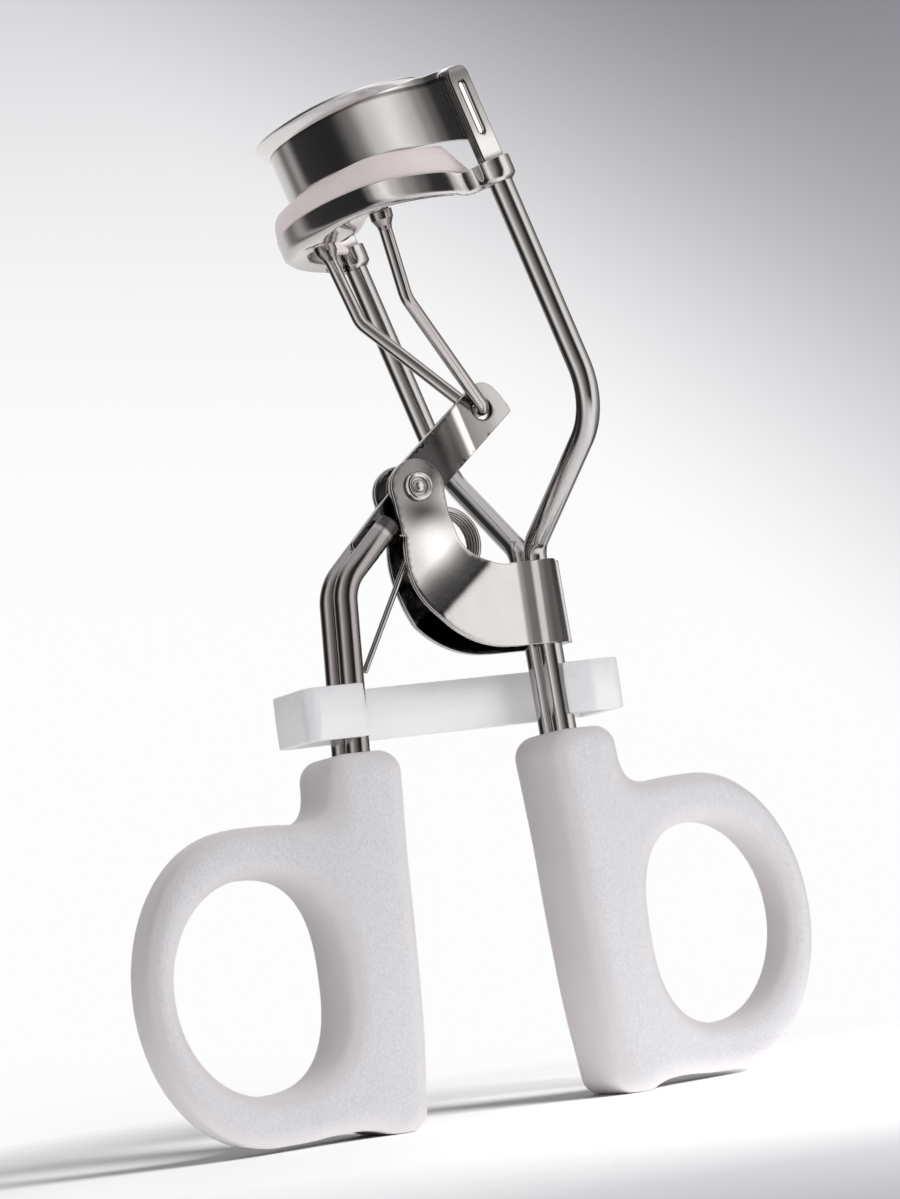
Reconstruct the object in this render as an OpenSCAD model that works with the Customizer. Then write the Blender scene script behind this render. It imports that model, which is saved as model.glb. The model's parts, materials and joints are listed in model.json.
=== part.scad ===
// Eyelash curler: a scissor-type lash curler with wire arms, a sliding lower jaw
// and two finger-loop grips. Millimetres. +Z is up and the jaws' curve bulges to -X.
// The origin is on the floor, midway between the two finger loops' outer ends and between
// the two arms; the main pivot stands almost above it.

/* [Overall] */
// Height of the main pivot above the floor
pivot_h = 60; // [59.5:0.1:60.5]
// How far the main pivot stands to the left of the origin
pivot_left = 1.3; // [1.1:0.1:1.5]
// Distance of each arm wire's axis from the middle plane, at the jaws
jaw_half_width = 16.5; // [16.3:0.1:17.5]
// How far the arm wires lean back from vertical, above their bend
jaw_tilt = 17.1; // [16:0.1:18]

/* [Wire] */
// Diameter of the arm and handle wires
wire_d = 2.3; // [2.1:0.05:2.3]
// Diameter of the push link's wire
link_wire_d = 1.3; // [1.0:0.05:1.4]
// Diameter of the spring's wire
spring_wire_d = 0.6; // [0.45:0.05:0.65]
// Length of the flattened paddle at the top of each arm wire
paddle_l = 9.4; // [9:0.1:10]

/* [Jaws] */
// Thickness of the upper jaw's steel band
band_t = 0.8; // [0.6:0.05:0.9]
// Width of the lower jaw's channel
channel_w = 4.4; // [4.2:0.1:4.6]
// Height of the lower jaw's channel
channel_h = 2.3; // [2.2:0.1:2.5]
// Thickness of the channel's sheet
channel_t = 0.5; // [0.4:0.05:0.6]
// How far the silicone pad stands above the channel
pad_h = 2.7; // [2.4:0.05:2.7]

/* [Pivot] */
// Thickness of the bracket's steel sheet
sheet_t = 0.7; // [0.6:0.05:0.8]
// Thickness of the lever plate
lever_t = 1.0; // [0.8:0.1:1.0]
// Width of the lever plate's arm
lever_w = 4.6; // [4.4:0.1:4.6]
// Diameter of the rivet's shank
rivet_d = 1.8; // [1.5:0.1:1.9]
// Diameter of the rivet's rolled heads
rivet_head_d = 2.9; // [2.7:0.1:3.2]

/* [Spring] */
// Turns of the return spring
spring_turns = 3.5; // [2.5:1:3.5]
// Mean radius of the return spring's coil
spring_r = 3.4; // [3:0.1:3.5]

/* [Grips] */
// Thickness of the stems at their thick edge, front to back
stem_depth = 10.2; // [9.4:0.1:10.6]
// Thickness of the finger loops, front to back
loop_depth = 6.2; // [5.8:0.1:6.6]
// Width of each finger hole
hole_w = 16.3; // [15.5:0.1:16.5]
// Height of each finger hole
hole_h = 19.8; // [19:0.1:20]

/* [Clip] */
// Height of the retaining clip
clip_h = 5.0; // [4:0.1:5.2]
// Thickness of the retaining clip's wall
clip_t = 1.1; // [0.9:0.05:1.2]

/* [Hidden] */
$fn = 48;
wire_r = wire_d / 2;
link_r = link_wire_d / 2;
run_gap = 0.08;                 // radial gap of a running fit
snug_gap = 0.02;                // radial gap of a fixed fit
elbow_proud = 0.012;            // how much thicker an elbow is than its wire, in radius
elbow_lap = 0.06;               // how far a straight wire runs into its elbow

// Places in the side view, as [x, z] from the main pivot
arm_bend = [12.6, 4.2];         // where the arm wires turn inward
arm_knee = [11.92, -6.7];       // where they turn down into the bracket
fixed_foot = [13.2, -50];       // the arm wires' lower end, inside the grip
jaw_root = [6.36, 24.45];       // the point of the arm wires that the jaw frame starts from
lever_hole = [9.0, 7.45];       // the push link's hole in the lever plate
handle_top = [-3.4, -3.33];     // the handle wires' upper end
handle_bend = [-8.86, -8.64];   // where they turn down
moving_foot = [-11.46, -50];    // the handle wires' lower end, inside the grip
link_ball = [-2.3, 26.9];       // the ball joints under the lower jaw
link_ball_y = 6.8;              // their distance from the middle plane
ball_r = 0.9;
post_r = 1.4;                   // the posts that hold the ball sockets
tab_t = 0.95;                   // the tabs that join the collars to the channel
ferrule_bore = 1.6;             // from a ball's centre to the bottom of its ferrule's bore
link_kink = [0.1, 17.8];        // where the push link's legs bend
link_kink_y = 5.3;
channel_z = 25.15;               // underside of the lower jaw
band_z = 30.2;                  // lower edge of the upper jaw
band_top = 12.6;                // its upper edge at the ends, along the arm wires
band_crown = 1.6;               // how much higher that edge is at the middle
brim_out = 1.3;                 // how far the brim flares out
brim_up = 1.3;                  // how far it rises at the middle
brim_end = 0.8;                 // and at the ends
collar_r = wire_r + run_gap + 0.52;
collar_q = 1.35;                // the collars' lower edge, along the arm wires
collar_h = 1.95;

paddle_base = 3.7;              // the paddle's lower end, along the arm wires
paddle_w = 2.4;
paddle_t = 1.16;
slot_q = [6.6, 11.3];           // the ends of the slot pressed into it
slot_r = 0.28;
slot_depth = 0.2;

ear_y = 1.93;                   // middle of each bracket ear
ear_r = 2.85;
fixed_pair_y = 1.45;            // the arm wires' offset inside the bracket
moving_pair_y = lever_t / 2 + wire_r;
clamp_z = -12;                  // middle of the part of the bracket that wraps the wires
coil_c = [2.9, -5.6];           // the spring coil's centre
spring_legs = [[-7.86, -17.1], [6.6, -13.6]];   // the ends of its legs
through = 60;                   // length of a cutting body that passes right through
grip_mid = 1.3;                 // the plane that the two grips mirror each other in
grip_edge = 1.3;                // rounding of the grips' edges
corner_r = 2.2;                 // rounding of the stems' corners
stem_lean = 4.04;               // lean of the stems
stem_foot = 6;                  // where a stem's edge, produced, would pass the pivot's level
loop_c = [24.4, -44.9];         // middle of the finger loop
clip_z = -23.3;                 // the retaining clip's lower edge

fixed_lean = atan2(fixed_foot[0] - arm_knee[0], arm_knee[1] - fixed_foot[1]);

function unit(v) = v / norm(v);
function at(p, y) = [p[0], y, p[1]];

// ---- helpers ----

// Puts its children in the pivot's own frame
module at_pivot() translate([-pivot_left, 0, pivot_h]) children();

// The jaws' own frame: local Z runs up along the arm wires
module jaw_frame() at_pivot() translate(at(jaw_root, 0)) rotate([0, -jaw_tilt, 0]) children();

// Everything below the floor
module below_floor() translate([-through, -through, -through]) cube([2 * through, 2 * through, through]);

// A straight wire from a to b
module wire(a, b, r) {
    d = b - a;
    translate(a) rotate([0, acos(d[2] / norm(d)), atan2(d[1], d[0])])
        cylinder(h = norm(d), r = r);
}

// One elbow of radius bend, at corner v between the directions a and b. It is a hair thicker
// than the wire, so that the straight pieces end inside it.
module elbow(v, a, b, bend, r) {
    turn = acos(a * b);
    start = v - a * bend * tan(turn / 2);
    c = v + unit(b - a) * bend / cos(turn / 2);
    x = unit(start - c);
    z = cross(x, a);
    multmatrix([[x[0], a[0], z[0], c[0]], [x[1], a[1], z[1], c[1]], [x[2], a[2], z[2], c[2]]])
        rotate_extrude(angle = turn) translate([bend, 0]) circle(r = r + elbow_proud);
}

// A wire through the points pts, with an elbow of radius bends[i] at each inner point
module bent_wire(pts, bends, r) {
    last = len(pts) - 1;
    dirs = [for (i = [0:last - 1]) unit(pts[i + 1] - pts[i])];
    trims = [for (i = [0:last]) i == 0 || i == last ? 0
             : bends[i - 1] * tan(acos(dirs[i - 1] * dirs[i]) / 2)];
    ends = [for (t = trims) t > 0 ? t - elbow_lap : 0];
    for (i = [0:last - 1])
        wire(pts[i] + dirs[i] * ends[i], pts[i + 1] - dirs[i] * ends[i + 1], r);
    for (i = [1:last - 1]) elbow(pts[i], dirs[i - 1], dirs[i], bends[i - 1], r);
}

// Points [x, y, normal x, normal y] on an arc, and the same for a jaw's whole plan: a short
// straight end, a tight end arc, the main arc, and the same again mirrored
function arc(c, r, from, to, n) = [for (i = [0:n]) let (a = from + (to - from) * i / n)
    [c[0] + r * cos(a), c[1] + r * sin(a), cos(a), sin(a)]];

function jaw_plan(apex, r_main, half_angle, r_end, straight) =
    let (c = [apex + r_main, 0],
         e = c - (r_main - r_end) * [cos(half_angle), sin(half_angle)],
         half = concat([[e[0] + straight, e[1] - r_end, 0, -1]],
                       arc(e, r_end, 270, 180 + half_angle, 10),
                       arc(c, r_main, 180 + half_angle, 180, 14)))
    concat(drop_repeat(half), [for (i = [len(half) - 2:-1:0]) mirrored(half[i])]);

function mirrored(p) = [p[0], -p[1], p[2], -p[3]];
function drop_repeat(v) = [for (i = [0:len(v) - 1]) if (i == 0 || norm(v[i] - v[i - 1]) > 1e-6) v[i]];

// A band of the plan's curve, from the inset near to the inset far
function band(plan, near, far) = concat(
    [for (p = plan) [p[0] - near * p[2], p[1] - near * p[3]]],
    [for (i = [len(plan) - 1:-1:0]) let (p = plan[i]) [p[0] - far * p[2], p[1] - far * p[3]]]);

// A closed surface through a row of sections, each a loop of the same number of points
module loft(sections) {
    n = len(sections);
    m = len(sections[0]);
    polyhedron([for (s = sections) each s], concat(
        [[for (k = [0:m - 1]) k]],
        [for (i = [0:n - 2], k = [0:m - 1]) let (a = i * m, j = (k + 1) % m)
            each [[a + k, a + m + k, a + m + j], [a + k, a + m + j, a + j]]],
        [[for (k = [m - 1:-1:0]) (n - 1) * m + k]]));
}

// Height along the arm wires at which a point of the jaw's plan reaches the level z
function level(x, z) = (z - jaw_root[1] - x * sin(jaw_tilt)) / cos(jaw_tilt);

// ---- frame ----

UPPER_PLAN = jaw_plan(-10.1, 20.93, 42.12, 5.6, 1.45);
LOWER_PLAN = jaw_plan(-12, 34, 16.43, 7.8, 1.8);

// The section of the upper jaw at the point p of its plan: a band with a level lower edge,
// tallest at the middle, and a brim that flares most there and fades out at the ends
function upper_section(p) =
    let (fade = max(0.01, 1 - pow(abs(p[1]) / (jaw_half_width - 1), 4)),
         top = band_top + band_crown * fade,
         rim = top + brim_end + (brim_up - brim_end) * fade,
         out = brim_out * fade,
         low = function (x) level(x, band_z),
         place = function (inset, q) [p[0] - inset * p[2], p[1] - inset * p[3], q])
    [place(0, low(p[0])), place(0, top), place(-out, rim), place(band_t - out, rim),
     place(band_t, top), place(band_t, low(p[0]))];

// The curved upper band with its flared brim
module upper_jaw()
    color("silver") jaw_frame() loft([for (p = UPPER_PLAN) upper_section(p)]);

// One arm: a flattened paddle, the wire down to its bend, in to the bracket and down
module arm_wire(side) {
    y = side * jaw_half_width;
    lap = 0.5;                  // how far the wire runs into the paddle
    color("gainsboro") {
        at_pivot()
            bent_wire([at(jaw_root, y) + (paddle_base + lap) * [-sin(jaw_tilt), 0, cos(jaw_tilt)],
                       at(arm_bend, y), at(arm_knee, side * fixed_pair_y),
                       at(fixed_foot, side * fixed_pair_y)],
                      [3.2, 2.2], wire_r);
        jaw_frame() translate([0, y, 0]) difference() {
            paddle();
            translate([0, side * paddle_t / 2, 0]) paddle_slot();
        }
    }
}

// A flat tongue with a round top
module paddle() {
    top_r = paddle_w / 2 + 1.4;
    intersection() {
        translate([-paddle_w / 2, -paddle_t / 2, paddle_base]) cube([paddle_w, paddle_t, paddle_l]);
        translate([0, 0, paddle_base + paddle_l - top_r]) rotate([90, 0, 0])
            linear_extrude(through, center = true) {
                circle(r = top_r);
                translate([-top_r, -through]) square([2 * top_r, through]);
            }
    }
}

// The slot, centred on the face it is pressed into
module paddle_slot() {
    for (q = slot_q) translate([0, 0, q]) rotate([90, 0, 0])
        cylinder(h = 2 * slot_depth, r = slot_r, center = true);
    translate([-slot_r, -slot_depth, slot_q[0]])
        cube([2 * slot_r, 2 * slot_depth, slot_q[1] - slot_q[0]]);
}

// Bracket, side view: a round ear, a neck and a broad body that reaches the wires
module bracket_outline() difference() {
    union() {
        translate([0, -0.1]) circle(r = ear_r);
        polygon([[-2.8, -0.7], [-2.15, -5.5], [4, -8], [3.1, -3.5], [2.83, -0.3]]);
        intersection() {
            translate([7.4, -6.6]) circle(r = 9.65, $fn = 96);
            translate([-4, -17]) square([22, 13]);
        }
    }
    translate([8, -3.5]) circle(r = 4.75, $fn = 64);
    translate([8, -7.95]) square([12, 12]);
}

// Bracket, plan: one strip that leaves the front ear, wraps both wires and returns
module bracket_plan() {
    in_r = wire_r + snug_gap;
    flat_y = fixed_pair_y + in_r;
    step = [4.5, 9.2];          // where the strip steps out from the ear to the wires
    side = function (y, r) concat(
        [[-4, -y], [step[0], -y], [step[1], -fixed_pair_y - r]],
        [for (p = arc([12, -fixed_pair_y], r, 270, 360, 12)) [p[0], p[1]]]);
    outer = side(ear_y + sheet_t / 2, in_r + sheet_t);
    inner = side(ear_y - sheet_t / 2, in_r);
    flip = function (v) [for (i = [len(v) - 1:-1:0]) [v[i][0], -v[i][1]]];
    back = function (v) [for (i = [len(v) - 1:-1:0]) v[i]];
    polygon(concat(outer, flip(outer), back(concat(inner, flip(inner)))));
}

module pivot_bracket() color("silver") at_pivot() difference() {
    intersection() {
        rotate([90, 0, 0]) linear_extrude(through, center = true) bracket_outline();
        translate([0, 0, clamp_z]) rotate([0, -fixed_lean, 0]) translate([0.05, 0, 0])
            linear_extrude(through, center = true) bracket_plan();
    }
    rotate([90, 0, 0]) cylinder(h = through, r = rivet_d / 2 + snug_gap, center = true);
}

// Tubular rivet with two rolled heads
module pivot_rivet() {
    seat = ear_y + sheet_t / 2 + 0.01;
    head_r = rivet_head_d / 2;
    roll_r = 0.375;
    bore_r = 0.5;
    color("lightgray") at_pivot() rotate([90, 0, 0]) rotate_extrude() {
        translate([bore_r, -seat - 0.2]) square([rivet_d / 2 - bore_r, 2 * (seat + 0.2)]);
        for (s = [-1, 1]) translate([0, s * (seat + roll_r)]) {
            translate([bore_r + 0.15, -roll_r]) square([head_r - roll_r - bore_r - 0.15, 2 * roll_r]);
            translate([head_r - roll_r, 0]) circle(r = roll_r, $fn = 24);
        }
    }
}

module pivot_washer(side) {
    near = lever_t / 2 + 0.05;
    far = ear_y - sheet_t / 2 - snug_gap;
    color("darkgray") at_pivot() translate([0, side * (near + far) / 2, 0]) rotate([90, 0, 0])
        difference() {
            cylinder(h = far - near, r = 2.1, center = true);
            cylinder(h = through, r = rivet_d / 2 + 0.05, center = true);
        }
}

// ---- spring ----

// The wire's centre line: a leg from the handle wires, the coil, and a leg to the bracket
SPRING_STEPS = 28;
function coil_point(a, y) = [coil_c[0] + spring_r * cos(a), y, coil_c[1] + spring_r * sin(a)];
function spring_path() =
    let (pitch = spring_wire_d * 1.04,
         from_a = 152,
         n = ceil(spring_turns * SPRING_STEPS),
         y0 = -spring_turns * pitch / 2)
    concat([at(spring_legs[0], y0 - 0.25)],
           [for (i = [0:n]) coil_point(from_a - 360 * i / SPRING_STEPS, y0 + pitch * i / SPRING_STEPS)],
           [at(spring_legs[1], -y0)]);

// A round wire of radius r swept along the points p, as one closed surface
module swept_wire(p, r, sides = 10) {
    n = len(p);
    dirs = [for (i = [0:n - 1]) unit(p[min(i + 1, n - 1)] - p[max(i - 1, 0)])];
    ring = function (i) let (side = unit(cross(dirs[i], [0, 1, 0.001])), up = cross(side, dirs[i]))
        [for (k = [0:sides - 1]) p[i] + r * (side * cos(360 * k / sides) + up * sin(360 * k / sides))];
    loft([for (i = [0:n - 1]) ring(i)]);
}

module return_spring() color("dimgray") at_pivot() swept_wire(spring_path(), spring_wire_d / 2);

// ---- lower jaw ----

// A slice of the lower jaw's plan between two levels and two insets from its outer face
module lower_slice(near, far, z0, z1) intersection() {
    jaw_frame() linear_extrude(through / 2, center = true) polygon(band(LOWER_PLAN, near, far));
    at_pivot() translate([-through, -through, z0]) cube([2 * through, 2 * through, z1 - z0]);
}

// A post round each ball joint, between two levels counted from the balls' centres
module ball_posts(r, z0, z1)
    for (s = [-1, 1]) at_pivot() translate(at(link_ball, s * link_ball_y) + [0, 0, z0])
        cylinder(h = z1 - z0, r = r, $fn = 32);

// Channel with a collar on each arm wire and two ball sockets underneath
module lower_jaw() color("silver") difference() {
    union() {
        difference() {
            lower_slice(0, channel_w, channel_z, channel_z + channel_h);
            lower_slice(channel_t, channel_w - channel_t, channel_z + channel_t,
                        channel_z + 2 * channel_h);
        }
        ball_posts(post_r, -0.55, 1.15);
        for (s = [-1, 1]) jaw_frame() translate([0, s * jaw_half_width, collar_q]) {
            cylinder(h = collar_h, r = collar_r);
            translate([-2.8, s > 0 ? -collar_r : collar_r - tab_t, 0]) cube([2.5, tab_t, collar_h]);
        }
    }
    for (s = [-1, 1]) jaw_frame() translate([0, s * jaw_half_width, 0])
        cylinder(h = through / 2, r = wire_r + run_gap, center = true);
    for (s = [-1, 1]) at_pivot() translate(at(link_ball, s * link_ball_y)) {
        sphere(r = ball_r + run_gap, $fn = 32);
        translate([0, 0, -2]) cylinder(h = 1.45, r = post_r + 0.25, $fn = 32);
    }
}

// Silicone pad: it fills the channel and stands proud as a tapered bead
function pad_section(p) =
    let (gap = 0.03,
         z0 = channel_z + channel_t + gap,
         rim = channel_z + channel_h + gap,
         top = rim + pad_h - gap,
         place = function (inset, z) let (x = p[0] - inset * p[2])
             [x, p[1] - inset * p[3], level(x, z)])
    [place(channel_t + gap, z0), place(channel_t + gap, rim), place(0.02, rim),
     place(0.15, rim + 0.9), place(1.3, top - 0.3), place(1.8, top), place(2.8, top),
     place(3.3, top - 0.3), place(channel_w - 0.15, rim + 0.9), place(channel_w - 0.02, rim),
     place(channel_w - channel_t - gap, rim), place(channel_w - channel_t - gap, z0)];

module silicone_pad() color("rosybrown") difference() {
    jaw_frame() loft([for (p = LOWER_PLAN) pad_section(p)]);
    ball_posts(post_r + 0.05, -3, 1.2);
}

// ---- push link ----

// One bent wire: down from each ball joint, inward, and through the lever's hole
module push_link() {
    top = at(link_ball, -link_ball_y) + ferrule_bore * ferrule_dir(-1);
    hole_y = 0.95;              // half the length that crosses the lever plate
    color("gainsboro") at_pivot()
        bent_wire([top, at(link_kink, -link_kink_y), at(lever_hole, -hole_y),
                   at(lever_hole, hole_y), at(link_kink, link_kink_y),
                   [top[0], -top[1], top[2]]],
                  [2.5, 0.9, 0.9, 2.5], link_r);
}

function ferrule_dir(side) =
    unit(at(link_kink, side * link_kink_y) - at(link_ball, side * link_ball_y));

// Ferrule pressed on the wire's end, with the ball that sits in the jaw's socket
module link_ferrule(side) {
    d = ferrule_dir(side);
    color("lightgray") at_pivot() translate(at(link_ball, side * link_ball_y))
        rotate([0, acos(d[2]), atan2(d[1], d[0])]) difference() {
            union() {
                sphere(r = ball_r, $fn = 32);
                cylinder(h = 1.4, r = 0.5, $fn = 32);
                translate([0, 0, 1.15]) cylinder(h = 1.15, r = 1.1, $fn = 32);
                translate([0, 0, 2.3]) cylinder(h = 0.55, r = 0.95, $fn = 32);
            }
            translate([0, 0, ferrule_bore]) cylinder(h = 3, r = link_r + snug_gap, $fn = 32);
        }
}

// ---- handle ----

// Flat lever: an arm to the push link's hole, the pivot's eye and a tail between the wires
module lever_plate() {
    arm_a = atan2(lever_hole[1], lever_hole[0]);
    arm_l = 14.3;
    corner_r = 1.9;             // the tip's round corner; the other is cut square
    tail_a = 224.5;
    tail_l = 8.5;
    tail_w = 3.0;
    hole_gap = 0.5;             // the push link's free play in its hole
    color("lightgray") at_pivot() rotate([90, 0, 0])
        linear_extrude(lever_t, center = true) difference() {
            union() {
                circle(r = lever_w / 2);
                rotate(arm_a) {
                    translate([0, -lever_w / 2]) square([arm_l - corner_r, lever_w]);
                    translate([0, -lever_w / 2]) square([arm_l - 0.6, lever_w - corner_r]);
                    translate([arm_l - corner_r, lever_w / 2 - corner_r]) circle(r = corner_r);
                }
                rotate(tail_a) translate([0, -tail_w / 2]) square([tail_l, tail_w]);
            }
            circle(r = rivet_d / 2 + 0.05);
            translate(lever_hole) circle(r = link_r + hole_gap);
        }
}

module handle_wire(side) {
    y = side * moving_pair_y;
    color("gainsboro") at_pivot()
        bent_wire([at(handle_top, y), at(handle_bend, y), at(moving_foot, y)], [3.2], wire_r);
}

// ---- grips ----

// Outline of width w and height h about c: the half away from the stem is an ellipse, the
// half next to it is squarer the larger n is, and sx times as wide
function egg(c, w, h, n, sx = 1, count = 72) =
    [for (i = [0:count - 1]) let (a = 360 * i / count, u = cos(a), v = sin(a), k = u < 0 ? n : 2)
        c + [(u < 0 ? sx : 1) * w / 2 * sign(u) * pow(abs(u), 2 / k), h / 2 * sign(v) * pow(abs(v), 2 / k)]];

// Side view of one grip: the leaning stem and the finger loop
module grip_outline() difference() {
    offset(r = -2.5, $fn = 24) offset(delta = 2.5) {
        offset(r = corner_r, $fn = 24) offset(delta = -corner_r)
            polygon([[7.75, -24.7], [15.4, -24.7], [16.6, -57], [13.4, -60.2], [10.25, -60.2]]);
        polygon(egg(loop_c, 22, 29.2, 3, 1.18));
    }
    polygon(egg(loop_c, hole_w, hole_h, 2.6));
}

// Plan of one grip: thickest at the stem's edge and thinner towards the loop; its faces are
// moved in by cut
module grip_plan(cut) {
    thick = stem_depth / 2 - cut;
    thin = loop_depth / 2 - cut;
    polygon([[-through, -thick], [4, -thick], [14, -thin], [through, -thin],
             [through, thin], [14, thin], [4, thick], [-through, thick]]);
}

// One grip, right-hand side: steps that are wide in the middle and stepped in at the faces
module grip_body() {
    steps = 3;
    for (i = [0:steps]) {
        a = 90 * i / steps;
        intersection() {
            rotate([90, 0, 0]) linear_extrude(through, center = true)
                offset(delta = -grip_edge * (1 - cos(a))) grip_outline();
            translate([stem_foot, 0, 0]) rotate([0, -stem_lean, 0])
                linear_extrude(3 * through, center = true) grip_plan(grip_edge * (1 - sin(a)));
        }
    }
}

// The bores of two wires that run from top to foot
module bore_pair(top, foot, half)
    for (s = [-1, 1]) wire(at(top, s * half), at(foot, s * half), wire_r + snug_gap);

module fixed_grip() color("whitesmoke") difference() {
    at_pivot() difference() {
        translate([grip_mid, 0, 0]) grip_body();
        bore_pair(arm_knee, fixed_foot + 0.02 * unit(fixed_foot - arm_knee), fixed_pair_y);
    }
    below_floor();
}

module moving_grip() color("whitesmoke") difference() {
    at_pivot() difference() {
        translate([grip_mid, 0, 0]) mirror([1, 0, 0]) grip_body();
        bore_pair(handle_bend, moving_foot + 0.02 * unit(moving_foot - handle_bend), moving_pair_y);
    }
    below_floor();
}

// ---- retaining clip ----

// Plan of the clip: a bar behind the wires and a hook round each pair
module clip_plan() {
    left = -15.6;
    right = 18.2;
    back = 4.2;
    front = -4.15;
    corner = 0.9;
    mouth = [-9.4, 11.9];       // the open part of the front
    lead_in = 3;                // length of the slope on the right-hand hook's tip
    difference() {
        offset(r = corner, $fn = 24) offset(delta = -corner)
            translate([left, front]) square([right - left, back - front]);
        translate([left + clip_t, front + clip_t])
            square([right - left - 2 * clip_t, back - front - 2 * clip_t]);
        translate([mouth[0], front - clip_t]) square([mouth[1] - mouth[0], 2.5 * clip_t]);
        polygon([[mouth[1], front - clip_t], [mouth[1] + lead_in, front],
                 [mouth[1], front + 0.7 * clip_t]]);
    }
}

module retaining_clip() color([0.92, 0.92, 0.94]) at_pivot()
    translate([0, 0, clip_z]) linear_extrude(clip_h) clip_plan();

// ---- output ----

upper_jaw();
arm_wire(-1);  // arm_wire_front
arm_wire(1);  // arm_wire_back
pivot_bracket();
pivot_rivet();
pivot_washer(-1);  // pivot_washer_front
pivot_washer(1);  // pivot_washer_back
return_spring();
fixed_grip();
lower_jaw();
silicone_pad();
push_link();
link_ferrule(-1);  // link_ferrule_front
link_ferrule(1);  // link_ferrule_back
lever_plate();
handle_wire(-1);  // handle_wire_front
handle_wire(1);  // handle_wire_back
moving_grip();
retaining_clip();
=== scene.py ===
import json
import math

import bmesh
import bpy
import numpy as np
from mathutils import Matrix
from mathutils.geometry import delaunay_2d_cdt

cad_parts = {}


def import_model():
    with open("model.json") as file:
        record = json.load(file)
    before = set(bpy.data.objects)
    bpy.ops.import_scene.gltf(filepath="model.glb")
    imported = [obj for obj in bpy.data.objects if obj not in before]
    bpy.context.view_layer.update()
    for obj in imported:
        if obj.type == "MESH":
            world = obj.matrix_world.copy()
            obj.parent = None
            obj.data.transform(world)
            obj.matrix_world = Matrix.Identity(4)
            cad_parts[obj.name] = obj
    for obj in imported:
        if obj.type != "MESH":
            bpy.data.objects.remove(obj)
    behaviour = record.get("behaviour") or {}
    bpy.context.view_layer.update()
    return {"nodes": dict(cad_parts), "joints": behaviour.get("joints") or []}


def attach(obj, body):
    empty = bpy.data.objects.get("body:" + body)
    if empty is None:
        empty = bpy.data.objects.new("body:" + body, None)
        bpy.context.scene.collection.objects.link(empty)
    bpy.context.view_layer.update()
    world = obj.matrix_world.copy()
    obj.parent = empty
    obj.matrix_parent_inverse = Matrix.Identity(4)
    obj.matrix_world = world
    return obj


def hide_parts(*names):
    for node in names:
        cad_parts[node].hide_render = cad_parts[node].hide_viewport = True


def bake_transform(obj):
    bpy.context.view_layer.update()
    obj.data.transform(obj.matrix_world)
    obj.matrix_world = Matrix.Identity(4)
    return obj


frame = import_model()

# Everything below is worked out in millimetres from the main pivot and turned into metres
# in the frame's own axes when a mesh is made.
JOINT = {j["name"]: j for j in frame["joints"]}
PIVOT = np.array(JOINT["handle_hinge"]["pos_m"]) * 1000
SLIDE = np.array(JOINT["jaw_slide"]["axis"])
BALL = np.array(JOINT["link_swing"]["pos_m"]) * 1000 - PIVOT
BALL_Y = 6.8

# Wire sizes and the places where the wires bend, as in the CAD source
WIRE_R, LINK_R, SPRING_R = 1.15, 0.65, 0.3
HALF_WIDTH = 16.5
JAW_ROOT = np.array([6.36, 0.0, 24.45])
ARM_BEND, ARM_KNEE, FIXED_FOOT = (12.6, 4.2), (11.92, -6.7), (13.2, -50.0)
HANDLE_TOP, HANDLE_BEND, MOVING_FOOT = (-3.4, -3.33), (-8.86, -8.64), (-11.46, -50.0)
FIXED_Y, MOVING_Y = 1.45, 1.65
LEVER_HOLE = (9.0, 7.45)
LINK_KINK, LINK_KINK_Y = (0.1, 17.8), 5.3
CHANNEL_Z, CHANNEL_H, CHANNEL_W = 25.15, 2.3, 4.4
BAND_Z, BAND_TOP, BAND_CROWN, BAND_T = 30.2, 12.6, 1.6, 0.8
SHEET_T, EAR_Y = 0.7, 1.93
CLIP_Z = (-23.3, -18.3)
SHEET = 0.5                                    # the lower jaw's sheet
SLOT = (6.6, 11.3)                             # the slot in each arm's flattened end, along it
FOLD_A, FOLD_B = (0.32, -12.6), (5.76, -8.3)   # two points of the bracket's fold
SIDES = ((-1, "front"), (1, "back"))

UP = -SLIDE                                    # along the arm wires, upwards
ACROSS = np.array([UP[2], 0.0, -UP[0]])        # the jaws' own X
TILT = math.atan2(-UP[0], UP[2])


def unit(v):
    """The vector made one long."""
    v = np.asarray(v, float)
    return v / np.linalg.norm(v)


# Square to the bracket's fold in the side view, towards the clamp
FOLD_N = unit([FOLD_B[1] - FOLD_A[1], FOLD_A[0] - FOLD_B[0]])


def at(p, y):
    """A point p of the side view, at the depth y."""
    return np.array([p[0], y, p[1]], float)


def jaw(p, y, q):
    """A point given in the jaws' own frame."""
    return JAW_ROOT + np.array([0.0, y, 0.0]) + ACROSS * p + UP * q


def level(p, z):
    """How far up the arm wires a point at p across the jaws reaches the height z."""
    return (z - JAW_ROOT[2] - p * math.sin(TILT)) / math.cos(TILT)


def ease(x):
    """A smooth step from 0 to 1 over the same range of x."""
    x = np.clip(x, 0.0, 1.0)
    return x * x * (3 - 2 * x)


# ---- meshes ----

def make(name, verts, faces, body, slot, *nodes):
    """One mesh piece, from millimetres about the pivot, on its body. Its slot is not used."""
    mesh = bpy.data.meshes.new(name)
    co = (np.asarray(verts, float) + PIVOT) / 1000
    mesh.from_pydata(co.tolist(), [], [list(map(int, f)) for f in faces])
    mesh.validate()
    piece = bpy.data.objects.new(name, mesh)
    bpy.context.scene.collection.objects.link(piece)
    bm = bmesh.new()
    bm.from_mesh(mesh)
    bmesh.ops.remove_doubles(bm, verts=bm.verts, dist=1e-7)
    bmesh.ops.recalc_face_normals(bm, faces=bm.faces)
    bm.to_mesh(mesh)
    bm.free()
    for poly in mesh.polygons:
        poly.use_smooth = True
    if body:
        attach(piece, body)
    if nodes:
        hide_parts(*nodes)
    return piece


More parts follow.
